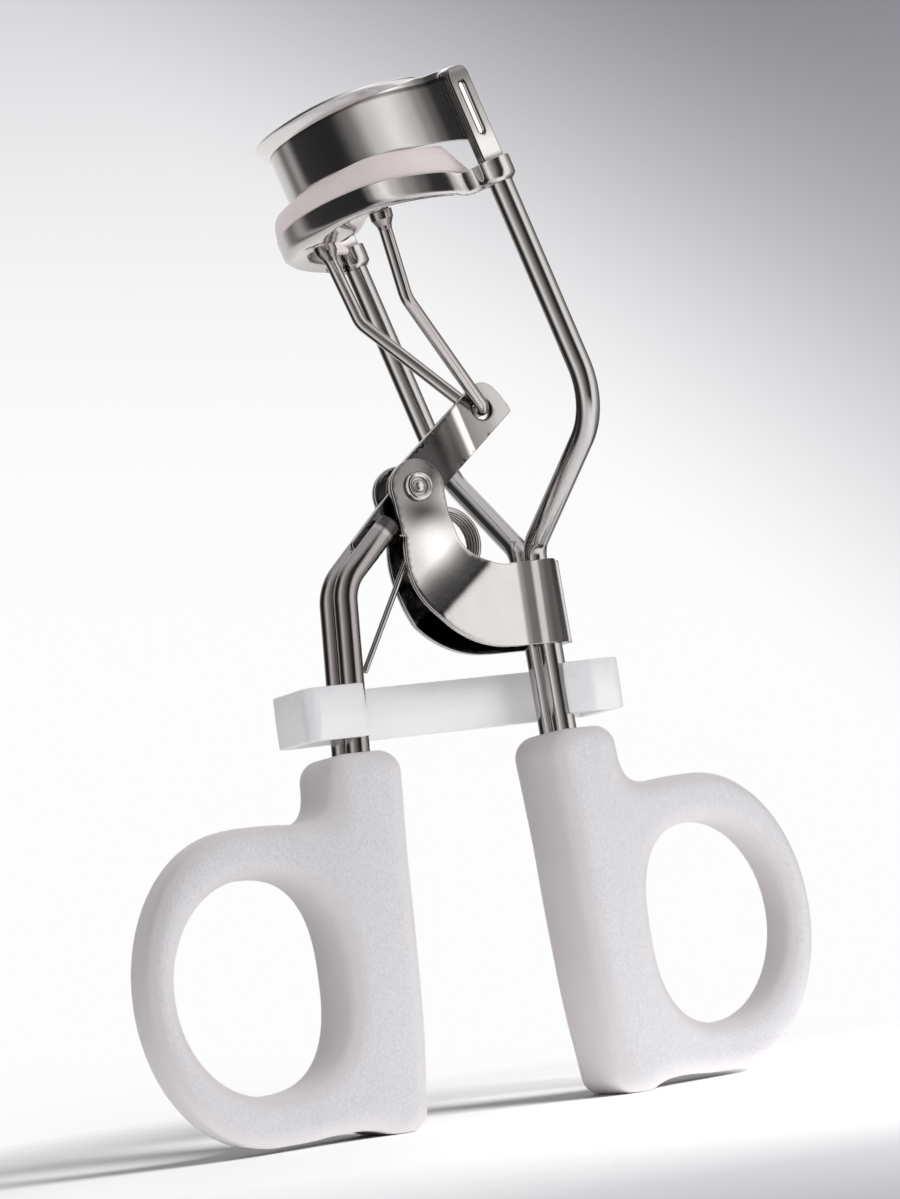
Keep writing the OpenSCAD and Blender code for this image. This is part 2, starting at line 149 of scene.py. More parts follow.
def join_rings(rings):
    """Vertices and faces of a closed skin over rings that all have the same number of points."""
    count, per = len(rings), len(rings[0])
    faces = []
    for i in range(count - 1):
        a, b = i * per, (i + 1) * per
        for k in range(per):
            j = (k + 1) % per
            faces.append((a + k, b + k, b + j, a + j))
    faces.append(tuple(range(per)))
    faces.append(tuple(range((count - 1) * per, count * per))[::-1])
    return np.concatenate(rings), faces


def corner(before, here, after, r, steps):
    """The points of a round bend of radius r that replaces one point of a path."""
    a, b = unit(here - before), unit(after - here)
    turn = math.acos(max(-1.0, min(1.0, float(a @ b))))
    if r <= 0 or turn < 1e-3:
        return [here]
    start = here - a * r * math.tan(turn / 2)
    centre = here + unit(b - a) * r / math.cos(turn / 2)
    return [centre + (start - centre) * math.cos(w) + a * r * math.sin(w)
            for w in (turn * k / steps for k in range(steps + 1))]


def bent_path(points, radii, steps=14):
    """The points joined by straight runs, with a round bend at each inner point."""
    pts = [np.asarray(p, float) for p in points]
    out = [pts[0]]
    for before, here, after, r in zip(pts, pts[1:], pts[2:], radii):
        out += corner(before, here, after, r, steps)
    return np.array(out + [pts[-1]])


def transported(path, first):
    """A frame at each point of the path, turned as little as possible from the first."""
    n = len(path)
    tangents = [unit(path[min(i + 1, n - 1)] - path[max(i - 1, 0)]) for i in range(n)]
    normal = unit(np.asarray(first, float) - tangents[0] * (np.asarray(first) @ tangents[0]))
    frames = []
    for t in tangents:
        normal = unit(normal - t * (normal @ t))
        frames.append((t, normal, np.cross(t, normal)))
    return frames


def round_ring(r, sides):
    """The corners of a many-sided ring of radius r."""
    a = np.linspace(0, 2 * math.pi, sides, endpoint=False)
    return np.stack([r * np.cos(a), r * np.sin(a)], 1)


def box_ring(a, b, r, sides):
    """A rounded rectangle of half sizes a and b, sampled evenly along each quarter."""
    out = []
    bend = r * math.pi / 2
    for k, (sx, sy) in enumerate(((1, 1), (-1, 1), (-1, -1), (1, -1))):
        # each quarter runs: half a side, a corner, half a side
        first, last = (b - r, a - r) if k % 2 == 0 else (a - r, b - r)
        start = k * math.pi / 2
        for i in range(sides // 4):
            d = i / (sides // 4) * (first + bend + last)
            w = start + min(max((d - first) / max(r, 1e-9), 0.0), math.pi / 2)
            on = max(d - first - bend, 0.0) - max(first - d, 0.0)
            out.append((sx * (a - r) + r * math.cos(w) - on * math.sin(w),
                        sy * (b - r) + r * math.sin(w) + on * math.cos(w)))
    return np.array(out)


def sweep(path, first, ring):
    """Rings of the section ring(i) along the path, with rounded ends."""
    frames = transported(path, first)
    rings = []
    for i, (p, (_, n, b)) in enumerate(zip(path, frames)):
        s = ring(i)
        rings.append(p + np.outer(s[:, 0], n) + np.outer(s[:, 1], b))

    def cap(outward, centre, rim):
        bulge = 0.45 * np.abs(rim - centre).max()
        return [centre + (rim - centre) * math.cos(w) + outward * bulge * math.sin(w)
                for w in (k / 5 * math.pi / 2 for k in range(1, 5))]

    return (cap(-frames[0][0], path[0], rings[0])[::-1] + rings
            + cap(frames[-1][0], path[-1], rings[-1]))


def wire(name, points, radii, r, body, slot, *nodes, sides=28, steps=14):
    """A round wire of radius r through the points, bent to the radii at the inner ones."""
    path = bent_path(points, radii, steps)
    v, f = join_rings(sweep(path, (0, 1, 0), lambda i: round_ring(r, sides)))
    return make(name, v, f, body, slot, *nodes)


def lathe(name, profile, origin, axis, body, slot, *nodes):
    """A profile of (radius, distance along the axis) points turned about the axis."""
    axis = unit(axis)
    n = unit(np.cross(axis, [0.31, 0.17, 0.94]))    # any direction that isn't along the axis
    b = np.cross(axis, n)
    ring = round_ring(1.0, 48)
    spokes = np.outer(ring[:, 0], n) + np.outer(ring[:, 1], b)
    v, f = join_rings([np.asarray(origin, float) + axis * h + r * spokes for r, h in profile])
    return make(name, v, f, body, slot, *nodes)


def rounded(profile, r):
    """A profile with its inner corners rounded."""
    pts = [np.array([p[0], 0.0, p[1]]) for p in profile]
    radii = []
    for i in range(1, len(pts) - 1):
        a, b = pts[i] - pts[i - 1], pts[i + 1] - pts[i]
        turn = math.acos(max(-1.0, min(1.0, float(unit(a) @ unit(b)))))
        room = 0.45 * min(np.linalg.norm(a), np.linalg.norm(b)) / max(math.tan(turn / 2), 1e-3)
        radii.append(min(r, room))
    return [(p[0], p[2]) for p in bent_path(pts, radii, steps=4)]


def lengths(path):
    """How far along the path each of its points is."""
    return np.concatenate([[0], np.cumsum(np.linalg.norm(np.diff(path, axis=0), axis=1))])


def resample(loop, spacing):
    """A closed loop with points about the spacing apart."""
    wrapped = np.vstack([loop, loop[:1]])
    length = lengths(wrapped)
    s = np.linspace(0, length[-1], max(8, int(length[-1] / spacing)), endpoint=False)
    return np.stack([np.interp(s, length, column) for column in wrapped.T], 1)


def rounded_loop(points, radii, steps=8):
    """A closed polygon with a round corner of its own radius at each point."""
    pts = np.asarray(points, float)
    radii = radii if hasattr(radii, "__len__") else [radii] * len(pts)
    out = []
    for before, here, after, r in zip(np.roll(pts, 1, 0), pts, np.roll(pts, -1, 0), radii):
        out += corner(before, here, after, r, steps)
    return np.array(out)


def arc(centre, r, start, stop, count):
    """Points of a round arc in the side view, between two angles in degrees."""
    return [(centre[0] + r * math.cos(a), centre[1] + r * math.sin(a))
            for a in np.radians(np.linspace(start, stop, count))]


def turned(points, angle):
    """The points of a side view turned about the pivot."""
    c, s = math.cos(angle), math.sin(angle)
    return np.array([(x * c - y * s, x * s + y * c) for x, y in points])


def strip(us, low, high):
    """The outline of a strip that runs along us between two edges."""
    return np.array(list(zip(us, low)) + list(zip(us[::-1], high[::-1])))


def area(loop):
    """The loop's area, positive when it runs counter-clockwise."""
    x, y = loop[:, 0], loop[:, 1]
    return 0.5 * float(np.sum(x * np.roll(y, -1) - np.roll(x, -1) * y))


def rows_to_units(v):
    """Each row of v made one long."""
    return v / np.maximum(np.linalg.norm(v, axis=1, keepdims=True), 1e-9)


def inset(loop, d):
    """The loop moved inwards (for a counter-clockwise loop) by d."""
    ahead = rows_to_units(np.roll(loop, -1, 0) - loop)
    behind = rows_to_units(loop - np.roll(loop, 1, 0))
    normal = np.stack([-ahead[:, 1], ahead[:, 0]], 1)
    middle = rows_to_units(normal + np.stack([-behind[:, 1], behind[:, 0]], 1))
    scale = 1.0 / np.maximum((middle * normal).sum(1), 0.5)
    return loop + middle * (d * scale)[:, None]


def inside(points, loop):
    """Which points lie inside the loop."""
    x, y = points[:, 0][:, None], points[:, 1][:, None]
    x0, y0 = loop[:, 0][None], loop[:, 1][None]
    x1, y1 = np.roll(loop[:, 0], -1)[None], np.roll(loop[:, 1], -1)[None]
    cross = (y0 > y) != (y1 > y)
    with np.errstate(divide="ignore", invalid="ignore"):
        xi = x0 + (y - y0) * (x1 - x0) / (y1 - y0)
    return (np.sum(cross & (x < xi), axis=1) % 2) == 1


def sheet(name, outline, place, t, edge, grid, body, slot, *nodes, spacing, holes=()):
    """A sheet piece of thickness t: a flat outline and holes, with edges rounded by a radius,
    put in space by place(u, v, w), which takes a place on the sheet and a distance across its
    thickness. The mesh has points about grid apart inside and spacing apart round the rim."""
    loops = [resample(outline, spacing)] + [resample(h, spacing) for h in holes]
    loops[0] = loops[0] if area(loops[0]) > 0 else loops[0][::-1]
    for i in range(1, len(loops)):
        loops[i] = loops[i] if area(loops[i]) < 0 else loops[i][::-1]
    rims = [inset(l, edge) for l in loops]
    flat = np.concatenate(rims)
    lo, hi = flat.min(0), flat.max(0)
    nx, ny = max(2, int((hi[0] - lo[0]) / grid)), max(2, int((hi[1] - lo[1]) / grid))
    gx, gy = np.meshgrid(np.linspace(lo[0], hi[0], nx + 1), np.linspace(lo[1], hi[1], ny + 1))
    gx = gx + (np.arange(ny + 1)[:, None] % 2) * 0.5 * (hi[0] - lo[0]) / nx
    pts = np.stack([gx.ravel(), gy.ravel()], 1)
    keep = inside(pts, inset(rims[0], 0.55 * spacing))
    for r in rims[1:]:
        keep &= ~inside(pts, inset(r, 0.55 * spacing))
    pts = pts[keep]
    edges, base = [], 0
    for r in rims:
        edges += [(base + i, base + (i + 1) % len(r)) for i in range(len(r))]
        base += len(r)
    points = [tuple(p) for p in np.concatenate([flat, pts])]
    verts2, _, tris, orig, _, _ = delaunay_2d_cdt(points, edges, [], 0, 1e-6)
    verts2 = np.array([(p.x, p.y) for p in verts2])
    centres = np.array([verts2[list(t_)].mean(0) for t_ in tris])
    kept = inside(centres, rims[0])
    for r in rims[1:]:
        kept &= ~inside(centres, r)
    tris = [t_ for t_, k in zip(tris, kept) if k]
    where = {}
    for new, olds in enumerate(orig):
        for o in olds:
            where[o] = new
    n = len(verts2)
    # the two faces, then the rows of the rounded rim
    verts = [place(verts2[:, 0], verts2[:, 1], np.full(n, s * t / 2)) for s in (-1, 1)]
    faces = [tuple(t_[::-1]) for t_ in tris] + [tuple(n + i for i in t_) for t_ in tris]
    total, base = 2 * n, 0
    steps = 6
    for loop in loops:
        m = len(loop)
        rows = [[where[base + i] for i in range(m)]]
        for k in range(1, steps):
            w = -math.pi / 2 + math.pi * k / steps
            ring = inset(loop, edge * (1 - math.cos(w)))
            half = (t / 2 - edge) * np.sign(2 * k - steps)
            across = half + edge * math.sin(w)
            verts.append(place(ring[:, 0], ring[:, 1], np.full(m, across)))
            rows.append([total + i for i in range(m)])
            total += m
        rows.append([n + where[base + i] for i in range(m)])
        for a, b in zip(rows, rows[1:]):
            for i in range(m):
                j = (i + 1) % m
                faces.append((a[i], a[j], b[j], b[i]))
        base += m
    return make(name, np.concatenate(verts), faces, body, slot, *nodes)


def nets(field, lo, hi, cell, refine=4):
    """A smooth closed surface where field(x, y, z) is zero: surface nets, then each vertex is
    pulled on to the surface along the field's slope."""
    axes = [np.arange(lo[k] - 2 * cell, hi[k] + 3 * cell, cell) for k in range(3)]
    x, y, z = np.meshgrid(*axes, indexing="ij")
    d = field(x, y, z)
    inner = d < 0
    shape = np.array(d.shape) - 1
    total = np.zeros((*shape, 3))
    count = np.zeros(shape)
    corners = [(i, j, k) for i in (0, 1) for j in (0, 1) for k in (0, 1)]
    for a in corners:
        for axis in range(3):
            if a[axis]:
                continue
            b = list(a)
            b[axis] = 1
            da = d[a[0]:a[0] + shape[0], a[1]:a[1] + shape[1], a[2]:a[2] + shape[2]]
            db = d[b[0]:b[0] + shape[0], b[1]:b[1] + shape[1], b[2]:b[2] + shape[2]]
            cut = (da < 0) != (db < 0)
            f = np.where(cut, da / np.where(cut, da - db, 1), 0)
            for m in range(3):
                total[..., m] += np.where(cut, a[m] + (f if m == axis else 0), 0)
            count += cut
    used = count > 0
    index = -np.ones(shape, int)
    index[used] = np.arange(used.sum())
    cells = np.argwhere(used)
    verts = (cells + total[used] / count[used][:, None]) * cell + np.array([a[0] for a in axes])
    faces = []
    for axis in range(3):
        u, v = [k for k in range(3) if k != axis]
        a = [slice(0, -1)] * 3
        b = [slice(0, -1)] * 3
        b[axis] = slice(1, None)
        ia, ib = inner[tuple(a)], inner[tuple(b)]
        where = np.argwhere(ia != ib)
        where = where[(where[:, u] > 0) & (where[:, v] > 0)]
        du, dv = np.eye(3, dtype=int)[u], np.eye(3, dtype=int)[v]
        quad = [index[tuple((where - o).T)] for o in (0 * du, du, du + dv, dv)]
        flip = ia[tuple(where.T)]
        if axis == 1:
            flip = ~flip
        q = np.stack(quad, 1)
        q[~flip] = q[~flip][:, ::-1]
        faces.append(q)
    faces = np.concatenate(faces)
    h = cell * 0.05
    for _ in range(refine):
        p = [verts[:, k] for k in range(3)]
        value = field(*p)
        ahead, behind = ([field(*[p[m] + (d if m == k else 0) for m in range(3)]) for k in range(3)]
                         for d in (h, -h))
        slope = np.stack([(a - b) / (2 * h) for a, b in zip(ahead, behind)], 1)
        size = np.maximum((slope ** 2).sum(1), 0.25)
        verts = verts - slope * (np.clip(value, -cell, cell) / size)[:, None]
    return verts, faces


# ---- materials ----

class Tree:
    """A node tree, with short calls for the nodes used here."""

    def __init__(self, tree):
        self.tree = tree

    def add(self, kind, **values):
        node = self.tree.nodes.new(kind)
        for k, v in values.items():
            if hasattr(node, k):
                setattr(node, k, v)
            else:
                self.put(node.inputs[k], v)
        return node

    def put(self, socket, value):
        if isinstance(value, bpy.types.NodeSocket):
            self.tree.links.new(value, socket)
        else:
            socket.default_value = value

    def coord(self, kind):
        return self.add("ShaderNodeTexCoord").outputs[kind]

    def split(self, vector):
        return self.add("ShaderNodeSeparateXYZ", Vector=vector).outputs

    def vector(self, operation, a, b=None, scale=None):
        node = self.add("ShaderNodeVectorMath", operation=operation)
        self.put(node.inputs[0], a)
        if b is not None:
            self.put(node.inputs[1], b)
        if scale is not None:
            self.put(node.inputs["Scale"], scale)
        return node.outputs["Value" if operation in ("DOT_PRODUCT", "LENGTH") else "Vector"]

    def math(self, operation, a, b=0.0, clamp=False):
        node = self.add("ShaderNodeMath", operation=operation, use_clamp=clamp)
        self.put(node.inputs[0], a)
        self.put(node.inputs[1], b)
        return node.outputs[0]

    def hypot(self, a, b):
        return self.math("SQRT", self.math("ADD", self.math("MULTIPLY", a, a), self.math("MULTIPLY", b, b)))

    def remap(self, value, a, b, c, d, kind="LINEAR"):
        """The value's range a to b stretched to c to d, and held there outside it."""
        node = self.add("ShaderNodeMapRange", interpolation_type=kind)
        self.put(node.inputs["Value"], value)
        for k, v in zip(("From Min", "From Max", "To Min", "To Max"), (a, b, c, d)):
            self.put(node.inputs[k], v)
        return node.outputs["Result"]

    def mix(self, fac, a, b):
        node = self.add("ShaderNodeMix", data_type="RGBA")
        self.put(node.inputs["Factor"], fac)
        self.put(node.inputs["A"], (*a, 1.0) if isinstance(a, tuple) else a)
        self.put(node.inputs["B"], (*b, 1.0) if isinstance(b, tuple) else b)
        return node.outputs["Result"]

    def ramp(self, value, stops):
        """A soft scale of colours for a value of 0 to 1: stops are (place, colour) pairs."""
        node = self.add("ShaderNodeValToRGB")
        node.color_ramp.interpolation = "EASE"
        elements = node.color_ramp.elements
        while len(elements) > 1:
            elements.remove(elements[-1])
        for i, (place, colour) in enumerate(stops):
            e = elements[0] if i == 0 else elements.new(place)
            e.position = place
            e.color = (*colour, 1)
        self.put(node.inputs[0], value)
        return node.outputs["Color"]


class Nodes(Tree):
    """A new material's node tree."""

    def __init__(self, name):
        self.mat = bpy.data.materials.new(name)
        self.mat.use_nodes = True
        super().__init__(self.mat.node_tree)
        self.bsdf = self.tree.nodes["Principled BSDF"]
        self.mm = self.vector("SCALE", self.coord("Object"), scale=1000.0)

    def noise(self, scale, detail=3.0, stretch=None, roughness=0.5):
        where = self.mm if stretch is None else self.vector("MULTIPLY", self.mm, stretch)
        node = self.add("ShaderNodeTexNoise", Vector=where, Scale=scale, Detail=detail, Roughness=roughness)
        return node.outputs["Fac"]

    def bump(self, height, strength, distance, under=None):
        node = self.add("ShaderNodeBump", Height=height, Strength=strength, Distance=distance)
        if under is not None:
            self.put(node.inputs["Normal"], under)
        return node.outputs["Normal"]

    def set(self, **values):
        for k, v in values.items():
            socket = self.bsdf.inputs[k.replace("_", " ")]
            self.put(socket, (*v, 1.0) if isinstance(v, tuple) and socket.type == "RGBA" else v)
        return self.mat


def steel(name, colour, rough, grain=True):
    """Polished steel with an uneven polish, small smudges and, with grain, faint drawing lines."""
    n = Nodes(name)
    smudge = n.noise(0.35, 3.0)
    fleck = n.noise(2.2, 5.0) if grain else n.noise(0.7, 2.0)
    dark = tuple(c * 0.93 for c in colour)
    tone = n.mix(n.remap(smudge, 0.35, 0.7, 0.0, 1.0), dark, colour)
    normal = n.bump(smudge, 0.02, 0.0004)
    if grain:
        normal = n.bump(n.noise(14.0, 4.0, (1.0, 1.0, 0.12), 0.6), 0.015, 0.00002, normal)
    return n.set(Base_Color=tone, Metallic=1.0, Normal=normal,
                 Roughness=n.remap(fleck, 0.35, 0.7, rough * 0.85, rough * 1.15))


def bands(n, value, *stops):
    """A soft scale of greys along one value: stops are (value, tone) pairs."""
    lo, hi = stops[0][0], stops[-1][0]
    return n.ramp(n.remap(value, lo, hi, 0.0, 1.0),
                  [((where - lo) / (hi - lo), (tone, tone, tone)) for where, tone in stops])


def spot(n, px, pz, x, z, rx, rz, turn):
    """One at a point of the side view, fading to nothing over an ellipse about it."""
    c, s = math.cos(math.radians(turn)), math.sin(math.radians(turn))
    dx, dz = n.math("SUBTRACT", px, x), n.math("SUBTRACT", pz, z)
    u = n.math("ADD", n.math("MULTIPLY", dx, c / rx), n.math("MULTIPLY", dz, s / rx))
    v = n.math("ADD", n.math("MULTIPLY", dx, -s / rz), n.math("MULTIPLY", dz, c / rz))
    return n.remap(n.hypot(u, v), 0.0, 1.0, 1.0, 0.0, "SMOOTHSTEP")


def side_view(n):
    """The point's X and Z from the pivot in mm, and how much its face is turned from +-Y."""
    p = n.split(n.mm)
    facing = n.math("ABSOLUTE", n.split(n.coord("Normal"))["Y"])
    return (n.math("SUBTRACT", p["X"], PIVOT[0]), n.math("SUBTRACT", p["Z"], PIVOT[2]),
            n.remap(facing, 0.94, 0.7, 0.0, 1.0))


def jaw_axes(n):
    """The point's place along the arms' straight ends, across them, and from the middle plane."""
    rel = n.vector("SUBTRACT", n.mm, tuple(float(c) for c in PIVOT + jaw(0, 0, 0)))
    q, a = (n.vector("DOT_PRODUCT", rel, tuple(float(c) for c in axis)) for axis in (UP, ACROSS))
    return q, a, n.math("ABSOLUTE", n.split(rel)["Y"])


def brushed(n, tone, rough, warm=0.97, grain=True):
    """Finishes a metal whose tone holds painted light and shade: fine grain along X and a little smudging of
    the shine.
    """
    fine = n.noise(9.0, 3.0, (0.15, 1.0, 1.0)) if grain else n.noise(0.8, 2.0)
    smudge = n.noise(0.35, 3.0)
    tint = n.vector("MULTIPLY", tone, (1.0, warm, warm * 0.985))
    tint = n.vector("SCALE", tint, scale=n.remap(smudge, 0.3, 0.7, 0.94, 1.0))
    return n.set(Base_Color=tint, Metallic=1.0, Roughness=n.remap(fine, 0.3, 0.7, rough * 0.9, rough * 1.15),
                 Normal=n.bump(fine, 0.02, 0.00002))


def grey(tone):
    return (tone, tone, tone)


def plate_steel(name, inner=False):
    """The bracket's satin steel, with the broad soft reflections such a flat plate takes painted into
    its colour as bands and spots, and a painted highlight on its rounded edges. The far half's inner
    face is dark with painted shade, as it looks in between the two halves."""
    n = Nodes(name)
    px, pz, edge = side_view(n)
    fold_line = n.math("ADD", n.math("MULTIPLY", n.math("SUBTRACT", px, FOLD_A[0]), float(FOLD_N[0])),
                       n.math("MULTIPLY", n.math("SUBTRACT", pz, FOLD_A[1]), float(FOLD_N[1])))
    # painted reflection: light and dark bands across the ear, along the fold
    ear = bands(n, fold_line, (-12.0, 0.22), (-9.0, 0.42), (-6.0, 0.62), (-3.8, 0.62), (-2.2, 0.55),
                (-1.0, 0.42), (-0.3, 0.26), (0.15, 0.6), (1.2, 0.64))
    # painted shade in two dark spots by the neck, and a painted reflection in one bright spot
    for place, tone in (((1.5, 1.2, 2.0, 4.2, -20), 0.10), ((0.2, -2.5, 4.5, 2.6, -10), 0.08),
                        ((1.5, -6.3, 3.3, 4.3, 20), 1.0)):
        ear = n.mix(spot(n, px, pz, *place), ear, grey(tone))
    # painted reflection: light and dark bands across the clamp round the wire
    clamp = bands(n, px, (8.6, 0.62), (9.1, 0.24), (9.6, 0.13), (10.2, 0.12), (10.6, 0.5), (10.95, 0.5),
                  (11.3, 0.16), (12.0, 0.08), (12.9, 0.10), (13.4, 0.35))
    tone = n.mix(n.remap(px, 8.5, 8.8, 0.0, 1.0), ear, clamp)
    if inner:
        # painted shade on the far half's inner face, in bands down it
        within = bands(n, pz, (-18.0, 0.02), (-11.5, 0.02), (-10.2, 0.22), (-9.2, 0.05), (-7.5, 0.25),
                       (-6.0, 0.05), (3.0, 0.3))
        outward = n.remap(n.split(n.coord("Normal"))["Y"], -0.1, 0.1, 0.0, 1.0)
        tone = n.mix(outward, within, tone)
    # painted highlight along the rounded edges, fading out round the wire
    tone = n.mix(n.math("MULTIPLY", edge, n.remap(px, 11.6, 12.2, 0.9, 0.0)), tone, grey(0.72))
    return brushed(n, tone, 0.2)


def arm_steel():
    """Wire steel whose flattened, slotted end has broad reflections painted along its length, painted shade
    round the slot with a painted highlight inside it, and painted shade down the paddle's left side.
    """
    n = Nodes("arm_steel")
    q, a, _ = jaw_axes(n)
    # painted reflection: light and dark bands along the paddle
    along = bands(n, q, (0.0, 0.52), (3.4, 0.52), (3.8, 0.2), (4.4, 0.7), (5.4, 0.7), (7.5, 0.42),
                  (10.5, 0.3), (12.4, 0.16), (13.1, 0.3))
    from_middle = n.math("ABSOLUTE", n.math("SUBTRACT", q, sum(SLOT) / 2))
    past = n.math("MAXIMUM", n.math("SUBTRACT", from_middle, (SLOT[1] - SLOT[0]) / 2 - 0.1), 0.0)
    d = n.hypot(a, past)
    # painted shade in a dark rim round the slot, then a painted highlight inside it
    tone = n.mix(n.remap(d, 0.52, 0.42, 0.0, 1.0), along, grey(0.05))
    tone = n.mix(n.remap(d, 0.34, 0.26, 0.0, 1.0), tone, grey(0.95))
    # painted shade down the paddle's left side
    left = n.math("MULTIPLY", n.remap(a, -0.95, -1.1, 0.0, 1.0), n.remap(q, 3.6, 4.4, 0.0, 1.0))
    return brushed(n, n.mix(left, tone, grey(0.10)), 0.11, grain=False)


def band_steel():
    """The upper jaw's polished band, with painted shade as a dark line in its fold and a painted reflection
    that makes the flange above paler.
    """
    n = Nodes("band_steel")
    q, _, y = jaw_axes(n)
    bow = n.math("POWER", n.math("DIVIDE", y, HALF_WIDTH - 1), 4.0)
    crown = n.math("MAXIMUM", n.math("SUBTRACT", 1.0, bow), 0.01)
    above = n.math("SUBTRACT", n.math("SUBTRACT", q, BAND_TOP), n.math("MULTIPLY", crown, BAND_CROWN))
    # painted reflection and shade: mid tone below the fold, painted shade in the fold, a pale flange above
    tone = bands(n, above, (-12.0, 0.58), (-0.4, 0.58), (-0.06, 0.22), (0.08, 0.22), (0.22, 0.95), (1.5, 0.95))
    return brushed(n, tone, 0.12)


def handle_steel():
    """The handle's darker wire, with painted shade where it goes in beside the bracket and a thin painted
    highlight just past it.
    """
    n = Nodes("handle_steel")
    px, pz, _ = side_view(n)
    # painted shade near the pivot, a thin painted highlight at 6 mm, then an even tone
    tone = bands(n, n.hypot(px, pz), (3.0, 0.07), (5.7, 0.08), (6.0, 0.5), (6.3, 0.34), (60.0, 0.36))
    return brushed(n, tone, 0.12, 0.94, False)


def lever_steel():
    """The lever's steel: painted shade by the pivot, one painted streak of reflection, a painted highlight on
    its edges, and a ring of painted shade at its hole.
    """
    n = Nodes("lever_steel")
    px, pz, edge = side_view(n)
    along = n.math("ADD", px, n.math("MULTIPLY", pz, 0.3))
    # painted reflection and shade in bands along the lever
    tone = bands(n, along, (-4.0, 0.10), (2.0, 0.07), (4.8, 0.08), (5.8, 0.2), (6.7, 0.10), (7.5, 0.16),
                 (8.2, 0.95), (8.5, 0.95), (8.75, 0.22), (10.5, 0.28), (13.0, 0.46), (17.0, 0.6))
    # painted highlight on the rounded edges
    tone = n.mix(n.math("MULTIPLY", edge, 0.8), tone, grey(0.6))
    # a ring of painted shade round the link's hole
    ring = n.remap(spot(n, px, pz, *LEVER_HOLE, 1.6, 1.6, 0), 0.10, 0.24, 0.0, 0.95)
    return brushed(n, n.mix(ring, tone, grey(0.03)), 0.16)


def grip_plastic():
    """White plastic: a fine pebbled grain on the flat faces, smoother on the rounded sides, which take a little
    painted shade.
    """
    n = Nodes("white_grip")
    facing = n.math("ABSOLUTE", n.split(n.coord("Normal"))["Y"])
    flat = n.remap(facing, 0.72, 0.98, 0.22, 1.0)
    pebble = n.noise(3.6, 3.0, None, 0.6)
    fine = n.noise(8.0, 2.0)
    height = n.math("MULTIPLY", n.math("ADD", pebble, n.math("MULTIPLY", fine, 0.35)), flat)
    # painted shade: the rounded sides are a little darker and pinker than the flat faces
    side = n.mix(n.remap(n.noise(0.12, 2.0), 0.3, 0.7, 0.0, 1.0), (0.84, 0.795, 0.80), (0.87, 0.835, 0.84))
    front = n.mix(n.remap(pebble, 0.38, 0.62, 0.0, 1.0), (0.825, 0.81, 0.835), (0.885, 0.875, 0.91))
    tone = n.mix(n.remap(flat, 0.4, 0.9, 0.0, 1.0), side, front)
    return n.set(Base_Color=tone, Roughness=n.remap(pebble, 0.3, 0.7, 0.36, 0.5), Specular_IOR_Level=0.7,
                 Subsurface_Weight=0.1, Subsurface_Radius=(0.001, 0.0008, 0.0008), Subsurface_Scale=1.0,
                 Normal=n.bump(height, 0.8, 0.0002))


def silicone():
    """Soft pink silicone. Its small emission stands for light scattered inside it."""
    n = Nodes("silicone")
    cloud = n.noise(0.5, 3.0)
    grain = n.noise(9.0, 3.0)
    tone = n.mix(n.remap(cloud, 0.3, 0.7, 0.0, 1.0), (0.84, 0.75, 0.755), (0.90, 0.81, 0.815))
    return n.set(Base_Color=tone, Roughness=n.remap(grain, 0.3, 0.7, 0.42, 0.55), Subsurface_Weight=0.25,
                 Emission_Color=(0.95, 0.86, 0.87), Emission_Strength=0.16,
                 Subsurface_Radius=(0.0012, 0.0009, 0.0008), Subsurface_Scale=1.0,
                 Normal=n.bump(grain, 0.08, 0.00008))


def frosted():
    """Frosted clear plastic: it mostly scatters light, and its edges get a painted highlight. Its
    small emission stands for light scattered inside it."""
    n = Nodes("frosted_clip")
    cloud = n.noise(0.6, 3.0)
    frost = n.noise(12.0, 3.0)
    tone = n.mix(n.remap(cloud, 0.35, 0.65, 0.0, 1.0), (0.80, 0.79, 0.81), (0.86, 0.85, 0.87))
    # painted highlight on the pointed edges
    edge = n.remap(n.add("ShaderNodeNewGeometry").outputs["Pointiness"], 0.55, 0.66, 0.0, 1.0)
    tone = n.mix(edge, tone, (1.0, 1.0, 1.0))
    return n.set(Base_Color=tone, Roughness=n.remap(frost, 0.3, 0.7, 0.26, 0.38),
                 Transmission_Weight=0.3, IOR=1.42, Coat_Weight=0.25, Coat_Roughness=0.2,
                 Emission_Color=(0.95, 0.95, 0.97), Emission_Strength=0.11,
                 Normal=n.bump(frost, 0.03, 0.00004))


STEEL = steel("polished_steel", (0.60, 0.575, 0.57), 0.12)
WIRE = steel("wire_steel", (0.52, 0.495, 0.485), 0.11, grain=False)
FERRULE = steel("ferrule_steel", (0.36, 0.335, 0.325), 0.14, grain=False)
SPRING = steel("spring_steel", (0.46, 0.44, 0.43), 0.14, grain=False)
PLATE, INNER = plate_steel("plate_steel"), plate_steel("plate_inner", True)
LEVER, ARM, HANDLE = lever_steel(), arm_steel(), handle_steel()
BAND, BRIM = band_steel(), steel("brim_steel", (0.84, 0.82, 0.82), 0.14)
WHITE, SILICONE, FROST = grip_plastic(), silicone(), frosted()


def paint(piece, material):
    """Gives a piece its material."""
    piece.data.materials.clear()
    piece.data.materials.append(material)
    return piece


# ---- jaws ----

MAIN_STEPS, END_STEPS = 40, 24                 # the points on a jaw's two arcs


def ray(a):
    """The unit vector at the angle a."""
    return np.array([math.cos(a), math.sin(a)])


